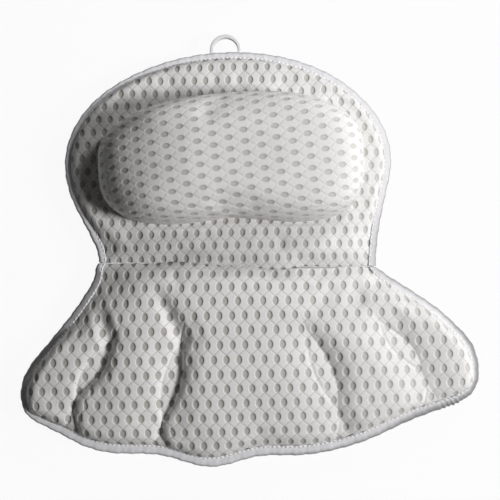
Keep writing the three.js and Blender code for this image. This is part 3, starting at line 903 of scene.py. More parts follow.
def seam_wave(x, y):
    """Sway and tilt of the cloth at the waist seam, dying out away from it"""
    sway = -SEAM_WAVE * np.sin(x / SEAM_RUN * 2 * math.pi) + 0.3 * SEAM_WAVE * np.sin(x * 115 + 1)
    aside = np.clip(x / WAIST_HALF_WIDTH, -1, 1)
    return (sway * (1 - aside ** 2) + SEAM_TILT * (0.2 - aside)) * (1 - smooth(np.abs(y) / SEAM_FADE))


def head_lain(plan):
    """The head panel's plan as it lies: stretched, and pushed a little to the left above the seam"""
    x, y = plan[..., 0], plan[..., 1]
    shift = HEAD_SHIFT * past(y, 0.008, LIE_RUN) * (1 - 0.5 * past(y, 0.15, 0.045))
    return np.stack([x + shift, y * HEAD_STRETCH + seam_wave(x, y)], axis=-1)


# Sheets and bodies

def lifted(plan, height):
    """Places in the frame from a plan about the seam and heights over the floor"""
    return np.dstack([plan[..., 0], plan[..., 1] + SEAM_Y, np.broadcast_to(height, plan.shape[:2])])


def normals_of(places):
    """Unit normals of a grid of places, on the side that its faces look to"""
    normals = np.cross(np.gradient(places, axis=1), np.gradient(places, axis=0))
    return normals / np.maximum(np.linalg.norm(normals, axis=2), 1e-12)[..., None]


def lens_relief(cloth, size):
    """Depth share of the mesh's holes and grooves at cloth coordinates counted in pitches and rows"""
    across, along = cloth[..., 0], cloth[..., 1]
    row = np.round(along)
    ahead = np.abs(along - row)
    beside = across - np.mod(row, 2) * 0.5
    beside = np.abs(beside - np.round(beside))
    half_width, half_length = size
    lens = (beside / half_width) ** HOLE_ROUNDNESS + (ahead / half_length) ** 2
    hole = smooth((1.2 - lens) / 0.7)
    run = (ahead - half_length) / (1 - 2 * half_length)
    groove = 1 - smooth(np.abs(beside - run * 0.5) / 0.11)
    return hole + 0.10 * groove * (ahead > half_length)


def grid_faces(rows, columns):
    """Four-sided faces of a grid, by rows"""
    start = np.arange(rows - 1)[:, None] * columns + np.arange(columns - 1)
    return np.stack([start, start + 1, start + columns + 1, start + columns], axis=-1).reshape(-1, 4)


def rim_of(rows, columns):
    """Indices round a grid, counter-clockwise from its first corner"""
    index = np.arange(rows * columns).reshape(rows, columns)
    return np.concatenate([index[0, :-1], index[:-1, -1], index[-1, :0:-1], index[:0:-1, 0]])


def new_piece(name, points, faces, cloth=None, material=None):
    """An object with that mesh, its cloth coordinates and its material"""
    mesh = bpy.data.meshes.new(name)
    mesh.from_pydata(np.asarray(points).tolist(), [], faces)
    if cloth is not None:
        corners = np.zeros(len(mesh.loops), np.int32)
        mesh.loops.foreach_get("vertex_index", corners)
        layer = mesh.uv_layers.new(name="cloth")
        layer.uv.foreach_set("vector", cloth[corners].astype(np.float32).ravel())
    mesh.shade_smooth()
    piece = bpy.data.objects.new(name, mesh)
    bpy.context.scene.collection.objects.link(piece)
    if material:
        mesh.materials.append(material)
    return piece


def thrown_away(piece):
    """Remove a piece that was only a help, with its mesh"""
    mesh = piece.data
    bpy.data.objects.remove(piece)
    bpy.data.meshes.remove(mesh)


def folding_base(rim, fold, side):
    """Faces of a flat base that folds along its first rim places: a strip up to the fold line, which runs
    between the sides of the rim that many places on, and the rest as one face"""
    last = len(fold) + 1
    seam = rim[:last + 1]
    line = np.concatenate([rim[-side:][:1], fold, rim[last + side:][:1]])
    strip = np.stack([seam[1:-2], seam[2:-1], line[2:-1], line[1:-2]], axis=1)
    ends = [
        [*seam[:2], line[1], *rim[-side:]],
        [*seam[-2:], *rim[last + 1:last + side + 1], line[-2]],
    ]
    return [*strip.tolist(), *ends, [*rim[last + side:len(rim) - side + 1], *fold]]


def cut_into_triangles(piece):
    """Cut a piece's many-sided faces up, so that they keep the same triangles in every pose"""
    edit = bmesh.new()
    edit.from_mesh(piece.data)
    many_sided = [face for face in edit.faces if len(face.verts) > 4]
    bmesh.ops.triangulate(edit, faces=many_sided, ngon_method="EAR_CLIP")
    edit.to_mesh(piece.data)
    edit.free()


def padded_body(name, places, cloth, backing, material, seam_row=None):
    """A closed body under a grid of places, flat at the backing level; it folds beside the seam's row"""
    rows, columns = places.shape[:2]
    index = np.arange(rows * columns).reshape(rows, columns)
    rim = rim_of(rows, columns)
    fold = rim[:0]
    if seam_row is not None:
        middle = places[:, columns // 2, :2]
        apart = np.linalg.norm(middle - middle[seam_row], axis=1)
        side = int(np.flatnonzero(apart[::1 if seam_row == 0 else -1] > FOLD_REACH)[0])
        if seam_row == 0:
            fold = index[side, 1:-1]
        else:
            fold = index[-1 - side, -2:0:-1]
            rim = np.roll(rim, 2 - rows - columns)
    top = places.reshape(-1, 3)
    lowered = np.concatenate([rim, fold])
    base = top[lowered].copy()
    base[:, 2] = backing
    below = len(top) + np.arange(len(lowered))
    edge = below[:len(rim)]
    skirt = np.stack([edge, np.roll(edge, -1), np.roll(rim, -1), rim], axis=1)
    under = [edge] if seam_row is None else folding_base(edge, below[len(rim):], side)
    faces = [*grid_faces(rows, columns).tolist(), *skirt.tolist()]
    faces += [[int(corner) for corner in face][::-1] for face in under]
    flat = cloth.reshape(-1, 2)
    flat = np.concatenate([flat, flat[lowered]])
    piece = new_piece(name, np.concatenate([top, base]), faces, flat, material)
    cut_into_triangles(piece)
    return piece


def refined(grid, step):
    """A coarse grid's values on the fine grid between its nodes"""
    for axis in (0, 1):
        moved = np.moveaxis(grid, axis, 0)
        ends = [2 * moved[:1] - moved[1:2], moved, 2 * moved[-1:] - moved[-2:-1]]
        knots = np.arange((len(moved) - 1) * step + 1) / step
        flat = np.concatenate(ends).reshape(len(moved) + 2, -1)
        grid = np.moveaxis(spline(flat, knots + 1).reshape(-1, *moved.shape[1:]), 0, axis)
    return grid


def softened(grid):
    """A grid's values evened out with their neighbours"""
    for axis in (0, 1):
        near = np.moveaxis(grid, axis, 0)
        ends = np.concatenate([near[:1], near, near[-1:]])
        grid = np.moveaxis((ends[:-2] + 2 * near + ends[2:]) / 4, 0, axis)
    return grid


def settled(name, places, sewn, growth):
    """Blow a sheet up as cloth with its sewn places held, and give it back as it comes to rest"""
    coarse = places[::COARSE_STEP, ::COARSE_STEP]
    held = sewn[::COARSE_STEP, ::COARSE_STEP]
    rows, columns = coarse.shape[:2]
    sheet = new_piece(name + "_settling", coarse.reshape(-1, 3), grid_faces(rows, columns).tolist())
    pins = sheet.vertex_groups.new(name="sewn")
    for index in np.flatnonzero(held.ravel()):
        pins.add([int(index)], 1.0, "REPLACE")
    cloth = sheet.modifiers.new("Cloth", "CLOTH")
    cloth.settings.quality = 6
    cloth.settings.mass = 0.15
    cloth.settings.tension_stiffness = 14
    cloth.settings.compression_stiffness = 14
    cloth.settings.shear_stiffness = 6
    cloth.settings.bending_stiffness = 2.0
    cloth.settings.shrink_min = -growth
    cloth.settings.use_pressure = True
    cloth.settings.uniform_pressure_force = PRESSURE
    cloth.settings.vertex_group_mass = "sewn"
    cloth.settings.effector_weights.gravity = 0
    cloth.collision_settings.use_collision = False
    for moment in range(1, LAST_FRAME + 1):
        bpy.context.scene.frame_set(moment)
    bpy.ops.object.select_all(action="DESELECT")
    sheet.select_set(True)
    bpy.context.view_layer.objects.active = sheet
    bpy.ops.object.modifier_apply(modifier=cloth.name)
    moved = np.zeros(rows * columns * 3, np.float32)
    sheet.data.vertices.foreach_get("co", moved)
    thrown_away(sheet)
    shift = moved.reshape(rows, columns, 3) - coarse
    size = np.linalg.norm(shift, axis=2)[..., None]
    shift *= np.minimum(1, SETTLE_REACH / np.maximum(size, 1e-9))
    return places + refined(softened(shift), COARSE_STEP)


# Pieces

def dress(piece, body, slot, *nodes):
    """Let a piece ride on its body in place of the frame's nodes"""
    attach(piece, body)
    if nodes:
        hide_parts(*nodes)
    return piece


def folding(piece, slot, *nodes):
    """Hide the frame's nodes that a piece reaching the waist seam stands in for, and bake the piece's place
    into its mesh
    """
    if nodes:
        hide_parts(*nodes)
    SEAM_Y - FOLD_HALF_WIDTH
    SEAM_Y + FOLD_HALF_WIDTH
    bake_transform(piece)
    return piece


def cloth_on_plan(plan, pitch, rows):
    """Cloth coordinates of a flat-cut panel: holes side by side along X, rows up Y clear of the seam"""
    return np.stack([plan[..., 0] / pitch, plan[..., 1] / rows + 0.5], axis=-1)


def unrolled(plan, places, row, across):
    """Plan drawn out by the length that the cloth's slopes take up, measured from a row and the middle;
    across is the share of the slopes sideways that counts in each column"""
    cloth = plan.copy()
    for axis, middle in ((0, row), (1, plan.shape[1] // 2)):
        flat = np.diff(plan, axis=axis)
        full = np.linalg.norm(np.diff(places, axis=axis), axis=2)
        extra = flat * (full / np.maximum(np.linalg.norm(flat, axis=2), 1e-9) - 1)[..., None]
        if axis == 0:
            extra[:row] *= SEAM_TAKE_UP
        else:
            extra *= across[None, 1:, None]
        run = np.cumsum(np.insert(extra, 0, 0, axis=axis), axis=axis)
        cloth += run - np.take(run, [middle], axis=axis)
    return cloth


def sunk(places, cloth, depth, share=1.0, size=FLAT_HOLE):
    """Places of a sheet with its mesh's holes and grooves pressed in"""
    return places - normals_of(places) * (depth * lens_relief(cloth, size) * share)[..., None]


def make_head_cover(sizes, colours):
    """The padded front of the head panel, low where the roll is sewn on"""
    plan = head_plan()
    rise = head_rise(plan, sizes)
    lie = head_lain(plan)
    places = lifted(lie, EDGE_LEVEL + rise)
    distance, ray = from_roll(plan)
    sewn = (rise < 0.0012) | (distance < roll_reach(ray) + 0.001)
    places = settled("head", places, sewn, PANEL_GROWTH)
    drawn = unrolled(lie, places, HEAD_ROWS[0] // 3, np.ones(HEAD_COLUMNS + 1))
    cloth = cloth_on_plan(drawn, *HEAD_PITCH)
    places = sunk(places, cloth, sizes.hole_depth)
    piece = padded_body("head_front_cover_mesh", places, cloth, FRONT_LEVEL,
                        made_once(knitted_mesh, colours), 0)
    return folding(piece, "spacer_mesh", "head_front_cover", "head_padding")


def crowded(count):
    """Shares from -1 to 1, closer together towards both ends"""
    share = np.linspace(-1, 1, count + 1)
    return mix(share, np.sin(share * math.pi / 2), 0.6)


def roll_cloth(places):
    """Cloth coordinates of the roll: lengths along and across it from its middle, turned a little"""
    along = np.array([length_along(row) for row in places])
    aside = np.array([length_along(column) for column in places.transpose(1, 0, 2)]).T
    along -= along[:, ROLL_COLUMNS // 2, None]
    aside -= aside[ROLL_ROWS // 2]
    c, s = math.cos(ROLL_TURN), math.sin(ROLL_TURN)
    along, aside = along * c + aside * s, aside * c - along * s
    return np.stack([aside / ROLL_PITCH[0], along / ROLL_PITCH[1]], axis=-1)


def make_neck_roll(sizes, colours):
    """The stuffed roll: fuller on the right, rounder on the left, with small folds round its rim"""
    across = crowded(ROLL_COLUMNS)[None, :]
    up = crowded(ROLL_ROWS)[:, None]
    n = roll_squareness(across, up)
    x = across * (1 - np.abs(up) ** n / 2) ** (1 / n)
    y = up * (1 - np.abs(across) ** n / 2) ** (1 / n)
    radius = np.clip((np.abs(x) ** n + np.abs(y) ** n) ** (1 / n), 0, 1)
    plan = np.stack([x * ROLL_HALF_LENGTH, y * roll_depth(up)], axis=-1)
    distance = np.maximum(np.linalg.norm(plan, axis=2), 1e-9)
    ray = plan / distance[..., None]
    drawn_in = ROLL_WAIST * np.maximum(-ray[..., 1], 0) ** 2 * radius ** 6
    plan = plan - ray * drawn_in[..., None] + ROLL_MIDDLE
    plan[..., 1] += ROLL_SKEW * x * (1 - x ** 2) * np.maximum(y, 0) ** 2
    saddle = ROLL_SADDLE * np.cos(np.clip(np.abs(x), 0, 1) * math.pi / 2) ** 2
    steep = y ** 4 / np.maximum(x ** 4 + y ** 4, 1e-9)
    rounded = (1 - past(across, -0.75, 0.85)) * (1 - steep)
    fullness, fall = mix(*ROLL_FULLNESS, rounded), mix(*ROLL_FALL, rounded)
    rise = (sizes.roll_crown - saddle) * np.maximum(1 - radius ** fullness, 0) ** fall
    seat = EDGE_LEVEL + sizes.under_roll
    rims = past(np.abs(up), 0.72, 0.24) * (1 - np.abs(x) ** 6)
    ends = past(np.abs(across), 0.86, 0.12)
    across_roll, up_roll = plan[..., 0], plan[..., 1]
    spacing, height = RIM_FOLDS
    wander = 3 * np.sin(across_roll * 46) + across_roll * 60
    folds = height * np.sin(up_roll / spacing * 2 * math.pi + wander)
    spacing, height = END_PLEATS
    pleats = height * np.sin(up_roll / spacing * 2 * math.pi + 1.5 * np.sin(up_roll * 130))
    rise = rise + (folds * rims + pleats * ends) * (radius < 0.999)
    places = lifted(head_lain(plan), seat + rise)
    places = settled("roll", places, radius > 0.995, ROLL_GROWTH)
    cloth = roll_cloth(places)
    places = sunk(places, cloth, sizes.hole_depth, 0.6 * smooth((1 - radius) / 0.06), PULLED_HOLE)
    piece = padded_body("neck_roll_mesh", places, cloth, seat, made_once(stretched_mesh, colours))
    return dress(piece, "head_panel", "spacer_mesh", "neck_roll_cover", "neck_roll_filling")


def make_back_cover(sizes, colours):
    """The quilted front of the back panel; its rows run up from the hem, so that its faces look up"""
    fans = back_fans()
    downs = np.linspace(0, 1, BACK_ROWS + 1)
    plan = fan_plan(fans, downs)
    rise, held = back_rise(plan, fans, downs, sizes)
    lie = lain(plan, sizes)
    places = lifted(lie, EDGE_LEVEL + rise)[::-1]
    places = settled("back", places, (held < 0.05)[::-1], PANEL_GROWTH)
    drawn = unrolled(lie, places[::-1], BACK_ROWS // 2, past(np.abs(fans), 2.2, 0.4))
    cloth = cloth_on_plan(drawn, *BACK_PITCH)[::-1]
    places = sunk(places, cloth, sizes.hole_depth)
    piece = padded_body("back_front_cover_mesh", places, cloth, FRONT_LEVEL,
                        made_once(knitted_mesh, colours), -1)
    return folding(piece, "spacer_mesh", "back_front_cover", "back_padding")


def make_rear_covers(sizes, colours):
    """The rear mesh of both panels, stretched flat over their backs: every second place of the fronts' grids,
    with the columns the other way round, so that its faces look down"""
    downs = np.linspace(0, 1, BACK_ROWS + 1)
    back = lain(fan_plan(back_fans(), downs), sizes)[::-1]
    for name, plan, pitch, seam_row in (
        ("head_rear_cover", head_lain(head_plan()), HEAD_PITCH, 0),
        ("back_rear_cover", back, BACK_PITCH, -1),
    ):
        plan = plan[::2, ::-2]
        cloth = cloth_on_plan(plan, *pitch)
        places = sunk(lifted(plan, REAR_LEVEL), cloth, sizes.hole_depth * 0.6)
        piece = padded_body(name + "_mesh", places, cloth, REAR_TOP,
                            made_once(knitted_mesh, colours), seam_row)
        size = plan.reshape(-1, 2).max(0) - plan.reshape(-1, 2).min(0)
        tuple(size)
        float(plan_area(plan))
        folding(piece, "spacer_mesh", name)


def plan_area(plan):
    """Area of a grid of flat places"""
    first = plan[1:, 1:] - plan[:-1, :-1]
    second = plan[1:, :-1] - plan[:-1, 1:]
    return np.abs(first[..., 0] * second[..., 1] - first[..., 1] * second[..., 0]).sum() / 2


# Edge tape and stitches

def tape_half(sizes):
    """Half the height of the folded tape"""
    return (EDGE_LEVEL - REAR_LEVEL) / 2 + TAPE_ROOM + sizes.tape_thickness


def tape_section(sizes):
    """Closed outline of the folded tape as (reach past the cut edge, height about the fold)"""
    half = tape_half(sizes)
    reach = TAPE_ROOM + sizes.tape_thickness
    start = -sizes.tape_wrap + TAPE_FLAT
    turn = np.linspace(math.pi / 2, -math.pi / 2, 19)
    bend = np.stack([start + (reach - start) * np.cos(turn), half * np.sin(turn)], axis=1)
    top = np.array([(-sizes.tape_wrap, half - 0.0006), (-sizes.tape_wrap + 0.0007, half - 0.0001)])
    outer = np.concatenate([top, bend, top[::-1] * (1, -1)])
    share = 1 - sizes.tape_thickness / half
    inner = outer[::-1] * (1, share)
    inner[:, 0] -= sizes.tape_thickness * smooth((inner[:, 0] - start) / (reach - start))
    return np.concatenate([outer, inner])


def tape_line(line, side, count):
    """Evenly spaced stations of a tape line with their outward directions, which turn along the seam at the
    line's ends"""
    shares = np.linspace(0, 1, count)
    places = evenly_along(line, shares)
    from_end = np.minimum(shares, 1 - shares) * length_along(places)[-1]
    along_seam = np.stack([np.sign(places[:, 0]), 0 * shares], axis=1)
    outward = mix(along_seam, outwards(places, side), smooth(from_end / TAPE_END_TURN)[:, None])
    return places, outward / np.linalg.norm(outward, axis=1)[:, None]


def turned_under(line):
    """How many millimetres the painted shade on the tape's outer fold is shifted inwards, so that more of it
    shows: more at the right wing and the left shoulder, less at the left of the hem and round the head"""
    x, y = line[:, 0], line[:, 1]
    hem = mix(-1.2, 0.6, past(x, -0.06, 0.18)) * past(-y, 0.10, 0.04)
    right = 1.9 * past(x, 0.12, 0.06) * past(-y, 0.04, 0.04)
    left = 4.5 * past(-x, 0.09, 0.03) * past(-y, -0.005, 0.01) * past(y, -0.12, 0.05)
    head = (1 + 1.2 * past(-x, 0, 0.05)) * past(y, 0.02, 0.05)
    return hem + right + left - head


def widened(line):
    """How much further the tape reaches over the cover along the hem"""
    return HEM_WIDENING * past(-line[:, 1], 0.12, 0.03)


def tape_tube(name, rings, cloth, colours):
    """A closed tube of tape through rings of places, with flat ends"""
    count, size = rings.shape[:2]
    index = np.arange(count * size).reshape(count, size)
    beyond = np.roll(index, -1, axis=1)
    faces = np.stack([index[:-1], beyond[:-1], beyond[1:], index[1:]], axis=-1).reshape(-1, 4)
    caps = [index[0][::-1].tolist(), index[-1].tolist()]
    return new_piece(name, rings.reshape(-1, 3), faces.tolist() + caps, cloth.reshape(-1, 2),
                     made_once(edge_tape, colours))


def millimetres(along, around):
    """Cloth coordinates of a tube in millimetres along and around it"""
    return np.stack(np.broadcast_arrays(along[:, None], around[None, :]), axis=-1) * 1000


def make_tape(name, line, outward, sizes, colours):
    """A tape folded over an edge line, a little wavy along its length and gathered at the right wing's tip"""
    section = tape_section(sizes)
    length = length_along(line)
    wave = TAPE_RUFFLE * (np.sin(length * 410) + 0.6 * np.sin(length * 953 + 1.3))
    near = np.linalg.norm(line - GATHERS, axis=1) / GATHER_REACH
    wave = wave + GATHER_HEIGHT * np.exp(-near ** 2) * np.sin(length / GATHER_SPACING * 2 * math.pi)
    inner = section[:, 0] < 0.001 - sizes.tape_wrap
    reach = section[None, :, 0] + wave[:, None] * 0.5 - widened(line)[:, None] * inner
    height = FOLD_LEVEL + section[None, :, 1] + wave[:, None] * 0.3
    rings = lifted(line[:, None, :] + outward[:, None, :] * reach[..., None], height)
    cloth = millimetres(length, length_along(section))
    # Shifts the painted fold shade along the tape
    cloth[..., 1] += turned_under(line)[:, None]
    return tape_tube(name, rings, cloth, colours)


def stitch_shape(sizes):
    """One short stitch as points and faces, lying along X"""
    active_alone()
    bpy.ops.mesh.primitive_uv_sphere_add(segments=6, ring_count=4, radius=0.5)
    stitch = bpy.context.object
    points = np.array([v.co[:] for v in stitch.data.vertices])
    faces = [list(p.vertices) for p in stitch.data.polygons]
    thrown_away(stitch)
    size = (sizes.stitch_length * STITCH_SHARE, sizes.thread, sizes.thread * STITCH_FLATNESS)
    return points[:, [2, 0, 1]] * size, faces


def make_stitches(name, line, levels, sizes, colours):
    """Rows of slightly slanting stitches along a line, one row at each level"""
    count = int(length_along(line)[-1] / sizes.stitch_length)
    shares = (np.arange(count) + 0.5) / count
    places = evenly_along(line, shares)
    run = np.gradient(places, axis=0)
    run /= np.linalg.norm(run, axis=1)[:, None]
    slant = STITCH_SLANT * np.where(np.arange(count) % 2, 1, -1)
    c, s = np.cos(slant), np.sin(slant)
    run = np.stack([run[:, 0] * c - run[:, 1] * s, run[:, 0] * s + run[:, 1] * c], axis=1)
    beside = np.stack([-run[:, 1], run[:, 0]], axis=1)
    shape, shape_faces = stitch_shape(sizes)
    points, faces = [], []
    for level in levels:
        for place, ahead, aside in zip(places, run, beside):
            first = len(points) * len(shape)
            flat = place + shape[:, :1] * ahead + shape[:, 1:2] * aside
            points.append(np.column_stack([flat[:, 0], flat[:, 1] + SEAM_Y, level + shape[:, 2]]))
            faces += [[first + k for k in face] for face in shape_faces]
    return new_piece(name, np.concatenate(points), faces, None, made_once(sewing_thread, colours))


def make_bindings(sizes, colours):
    """The edge tape of both panels, with a row of stitches on its front and its rear"""
    head = head_edge(200)
    head = head_lain(head[head[:, 1] > TAPE_ROOM])
    back = back_edge(np.linspace(0, len(whole_outline) - 1, 1200), 0)
    back = lain(back[back[:, 1] < -TAPE_ROOM], sizes)[::-1]
    half = tape_half(sizes)
    for name, line in (("head_binding", head), ("back_binding", back)):
        places, outward = tape_line(line, -1, TAPE_STATIONS)
        tape = make_tape(name + "_tape", places, outward, sizes, colours)
        folding(tape, "binding_tape", name)
        sewn = places - outward * (sizes.tape_wrap - STITCH_INSET + widened(places))[:, None]
        levels = (FOLD_LEVEL + half, FOLD_LEVEL - half)
        stitches = make_stitches(name + "_stitches", sewn, levels, sizes, colours)
        folding(stitches, "binding_tape")


def make_waist_seam(sizes, colours):
    """A flattened roll of seam cloth that the two panels fold on"""
    count, size = 240, 20
    along = np.linspace(-WAIST_HALF_WIDTH, WAIST_HALF_WIDTH, count)
    turn = np.linspace(0, 2 * math.pi, size, endpoint=False)
    radius = SEAM_RADIUS * (0.92 + 0.06 * np.sin(along * 900))
    rings = np.dstack([
        np.repeat(along[:, None], size, axis=1),
        SEAM_Y + (seam_wave(along, 0) + radius * np.cos(turn)[:, None]).T,
        FOLD_LEVEL + radius[:, None] * np.sin(turn),
    ])
    piece = tape_tube("waist_seam_roll", rings, millimetres(along, turn * SEAM_RADIUS), colours)
    return folding(piece, "binding_tape", "waist_seam")


# Modelled one by one: loop, patches and cups

def active_alone():
    """Nothing selected, object mode, so that a new primitive stands alone"""
    if bpy.context.object and bpy.context.object.mode != "OBJECT":
        bpy.ops.object.mode_set(mode="OBJECT")
    bpy.ops.object.select_all(action="DESELECT")


def turned(name, profile, segments):
    """A body turned about Z from a profile of (radius, height), closed flat at both ends"""
    active_alone()
    radius, height = profile[0]
    bpy.ops.mesh.primitive_circle_add(vertices=segments, radius=radius, fill_type="NGON",
                                      location=(0, 0, height))
    piece = bpy.context.object
    piece.name = name
    bpy.ops.object.transform_apply(location=True, rotation=True, scale=True)
    bpy.ops.object.mode_set(mode="EDIT")
    bpy.ops.mesh.select_all(action="SELECT")
    for (r0, z0), (r1, z1) in zip(profile, profile[1:]):
        bpy.ops.mesh.extrude_region_move(TRANSFORM_OT_translate={"value": (0, 0, z1 - z0)})
        share = r1 / r0
        bpy.ops.transform.resize(value=(share, share, 1), center_override=(0, 0, z1))
    bpy.ops.mesh.select_all(action="SELECT")
    bpy.ops.mesh.normals_make_consistent(inside=False)
    bpy.ops.object.mode_set(mode="OBJECT")
    bpy.ops.object.shade_smooth()
    return piece


def copied(piece, name, x, y):
    """A copy with its own mesh, its place in the mesh"""
    twin = bpy.data.objects.new(name, piece.data.copy())
    bpy.context.scene.collection.objects.link(twin)
    for vertex in twin.data.vertices:
        vertex.co.x += x
        vertex.co.y += y
    return twin


def make_cups(sizes, colours):
    """Six cups, each a dish with its neck through patch and rear cover and its knob inside, and the stitched
    patches"""
    low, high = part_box("suction_cup_head_left")
    patch_low, patch_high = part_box("cup_patch_head_left")
    rim = (high.x - low.x) / 2
    patch_radius = (patch_high.x - patch_low.x) / 2
    lip, dish, shoulder, neck, knob = 0.003, 0.0072, 0.009, 0.005, 0.008
    top = patch_low.z - 0.0003
    knob_level = REAR_TOP + 0.0001
    inside = [((rim - lip) * math.sqrt(1 - share), dish * share) for share in np.linspace(0.98, 0, 12)]
    outside = [
        (mix(rim, shoulder, share), mix(0.0012, top, math.sin(share * math.pi / 2)))
        for share in np.linspace(0, 1, 10)
    ]
    profile = [
        *inside, (rim - 0.0012, 0.0), (rim - 0.0003, 0.0003), *outside, (neck, top), (neck, knob_level),
        (knob, knob_level), (knob, high.z - 0.001), (knob - 0.001, high.z),
    ]
    cup = turned("cup_model", profile, 64)
    patch_profile = [
        (patch_radius - 0.0004, patch_low.z), (patch_radius, patch_low.z + 0.0004),
        (patch_radius, patch_high.z - 0.0003), (patch_radius - 0.0003, patch_high.z),
    ]
    patch = turned("patch_model", patch_profile, 64)
    cup.data.materials.append(made_once(clear_pvc, colours))
    patch.data.materials.append(made_once(coated_cloth, colours))
    turn = np.linspace(0, 2 * math.pi, 90)
    ring = np.stack([np.cos(turn), np.sin(turn)], axis=1) * (patch_radius - PATCH_STITCH_INSET)
    for name in CUPS:
        first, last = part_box("suction_cup_" + name)
        x, y = (first.x + last.x) / 2, (first.y + last.y) / 2
        body = "head_panel" if name.startswith("head") else "back_panel"
        dress(copied(cup, f"suction_cup_{name}_clear", x, y), "cup_" + name, "cup_pvc", "suction_cup_" + name)
        dress(copied(patch, f"cup_patch_{name}_cloth", x, y), body, "patch_cloth", "cup_patch_" + name)
        line = ring + (x, y - SEAM_Y)
        stitches = make_stitches(f"cup_patch_{name}_stitches", line, (patch_low.z,), sizes, colours)
        dress(stitches, body, "patch_cloth")
    thrown_away(cup)
    thrown_away(patch)


def make_hanging_loop(sizes, colours):
    """A narrow tape bent into an arch, its feet sewn under the edge tape"""
    radius = loop_high.x - 0.0011
    middle = HEAD_SHIFT
    half_thick, half_wide = 0.0016, (loop_high.z - loop_low.z) / 2
    fold = loop_low.y + half_wide + 0.001
    foot, steps = 0.004, 4
    active_alone()
    bpy.ops.mesh.primitive_plane_add(size=2, location=(middle + radius, fold - foot, FOLD_LEVEL),
                                     rotation=(math.pi / 2, 0, 0))
    piece = bpy.context.object
    piece.name = "hanging_loop_tape"
    piece.scale = (half_thick, half_wide, 1)
    bpy.ops.object.transform_apply(location=True, rotation=True, scale=True)
    bpy.ops.object.mode_set(mode="EDIT")
    bpy.ops.mesh.select_all(action="SELECT")
    for _ in range(steps):
        bpy.ops.mesh.extrude_region_move(TRANSFORM_OT_translate={"value": (0, foot / steps, 0)})
    bpy.ops.mesh.spin(steps=40, angle=math.pi, center=(middle, fold, FOLD_LEVEL), axis=(0, 0, -1))
    for _ in range(steps):
        bpy.ops.mesh.extrude_region_move(TRANSFORM_OT_translate={"value": (0, -foot / steps, 0)})
    bpy.ops.mesh.select_all(action="SELECT")
    bpy.ops.mesh.remove_doubles(threshold=0.00005)
    bpy.ops.mesh.normals_make_consistent(inside=False)
    bpy.ops.object.mode_set(mode="OBJECT")
    bevel = piece.modifiers.new("Soft edges", "BEVEL")
    bevel.width = 0.0006
    bevel.segments = 3
    bevel.angle_limit = math.radians(40)
    bpy.ops.object.modifier_apply(modifier=bevel.name)
    bpy.ops.object.shade_smooth()
    layer = piece.data.uv_layers.active or piece.data.uv_layers.new(name="cloth")
    layer.name = "cloth"
    for corner in piece.data.loops:
        x, y, z = piece.data.vertices[corner.vertex_index].co
        layer.uv[corner.index].vector = (math.atan2(y - fold, x - middle) * radius * 1000,
                                         3.2 + (z - FOLD_LEVEL) * 100)
    piece.data.materials.append(made_once(edge_tape, colours))
    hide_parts("hanging_loop")
    fold - 0.003
    fold + 0.003
    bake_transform(piece)
    return piece


# Stage

def make_floor():
    """A plain pale floor, nearly clear to the camera, so that a faint shadow is seen on it"""
    active_alone()
    bpy.ops.mesh.primitive_plane_add(size=8, location=(0, 0, -0.0006))
    floor = bpy.context.object
    floor.name = "floor"
    floor.visible_shadow = False
    floor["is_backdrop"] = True
    finish = Finish("pale_floor")
    finish.done(Base_Color=(0.7, 0.7, 0.7, 1.0), Roughness=0.9)
    surface = Value(finish, finish.shader.outputs[0])
    clear = finish.add("ShaderNodeBsdfTransparent")
    clearness = finish.seen() * 0.94
    both = finish.add("ShaderNodeMixShader", {}, {0: clearness, 1: surface, 2: clear})
    finish.feed(finish.tree.nodes["Material Output"], {"Surface": both})
    floor.data.materials.append(finish.material)


def make_room(scene):
    """A dim even room that the camera sees as white"""
    world = bpy.data.worlds.new("soft_room")
    scene.world = world
    world.use_nodes = True
    room = Nodes(world.node_tree)
    background = room.tree.nodes["Background"]
    room.feed(background, {"Color": (1.0, 0.99, 0.98, 1.0), "Strength": 0.025})
    dim = Value(room, background.outputs[0])
    white = room.add("ShaderNodeBackground", {}, {"Color": (1.0, 1.0, 1.0, 1.0)})
    both = room.add("ShaderNodeMixShader", {}, {0: room.seen(), 1: dim, 2: white})
    room.feed(room.tree.nodes["World Output"], {"Surface": both})


def make_lamps(scene):
    """Two soft square lamps from the right"""
    middle = Vector((0, 0, 0.04))
    for name, bearing, elevation, distance, size, power in (
        ("window", -10, 42, 2.0, 0.45, 32.0),
        ("near_lamp", 50, 32, 0.9, 0.22, 2.5),
    ):
        turn, tilt = math.radians(bearing), math.radians(elevation)
        aim = Vector((math.cos(tilt) * math.cos(turn), math.cos(tilt) * math.sin(turn), math.sin(tilt)))
        lamp = bpy.data.lights.new(name, "AREA")
        lamp.shape = "SQUARE"
        lamp.size = size
        lamp.energy = power
        light = bpy.data.objects.new(name, lamp)
        scene.collection.objects.link(light)
        light.location = middle + aim * distance
        light.rotation_euler = (-aim).to_track_quat("-Z", "Y").to_euler()
        light.visible_camera = False


def make_camera(scene):
    """A camera that looks down on the pillow from a little before it, slightly rolled"""
    camera = bpy.data.cameras.new("camera")
    camera.sensor_width = 36
    camera.lens = 85
    seat = bpy.data.objects.new("camera", camera)
    scene.collection.objects.link(seat)
    elevation, roll, distance = math.radians(87), math.radians(1.3), 1.085
    target = Vector((0.0121, -0.0014, 0.022))
    back = Vector((0, -math.cos(elevation), math.sin(elevation)))
    seat.location = target + back * distance
    seat.rotation_mode = "QUATERNION"
    seat.rotation_quaternion = (-back).to_track_quat("-Z", "Y") @ Quaternion((0, 0, 1), -roll)
    scene.camera = seat


def make_stage(scene):
    """The floor, the room's light, the lamps and the camera"""
    scene.view_settings.view_transform = "Standard"
    make_floor()
    make_room(scene)
    make_lamps(scene)
    make_camera(scene)


# Operators

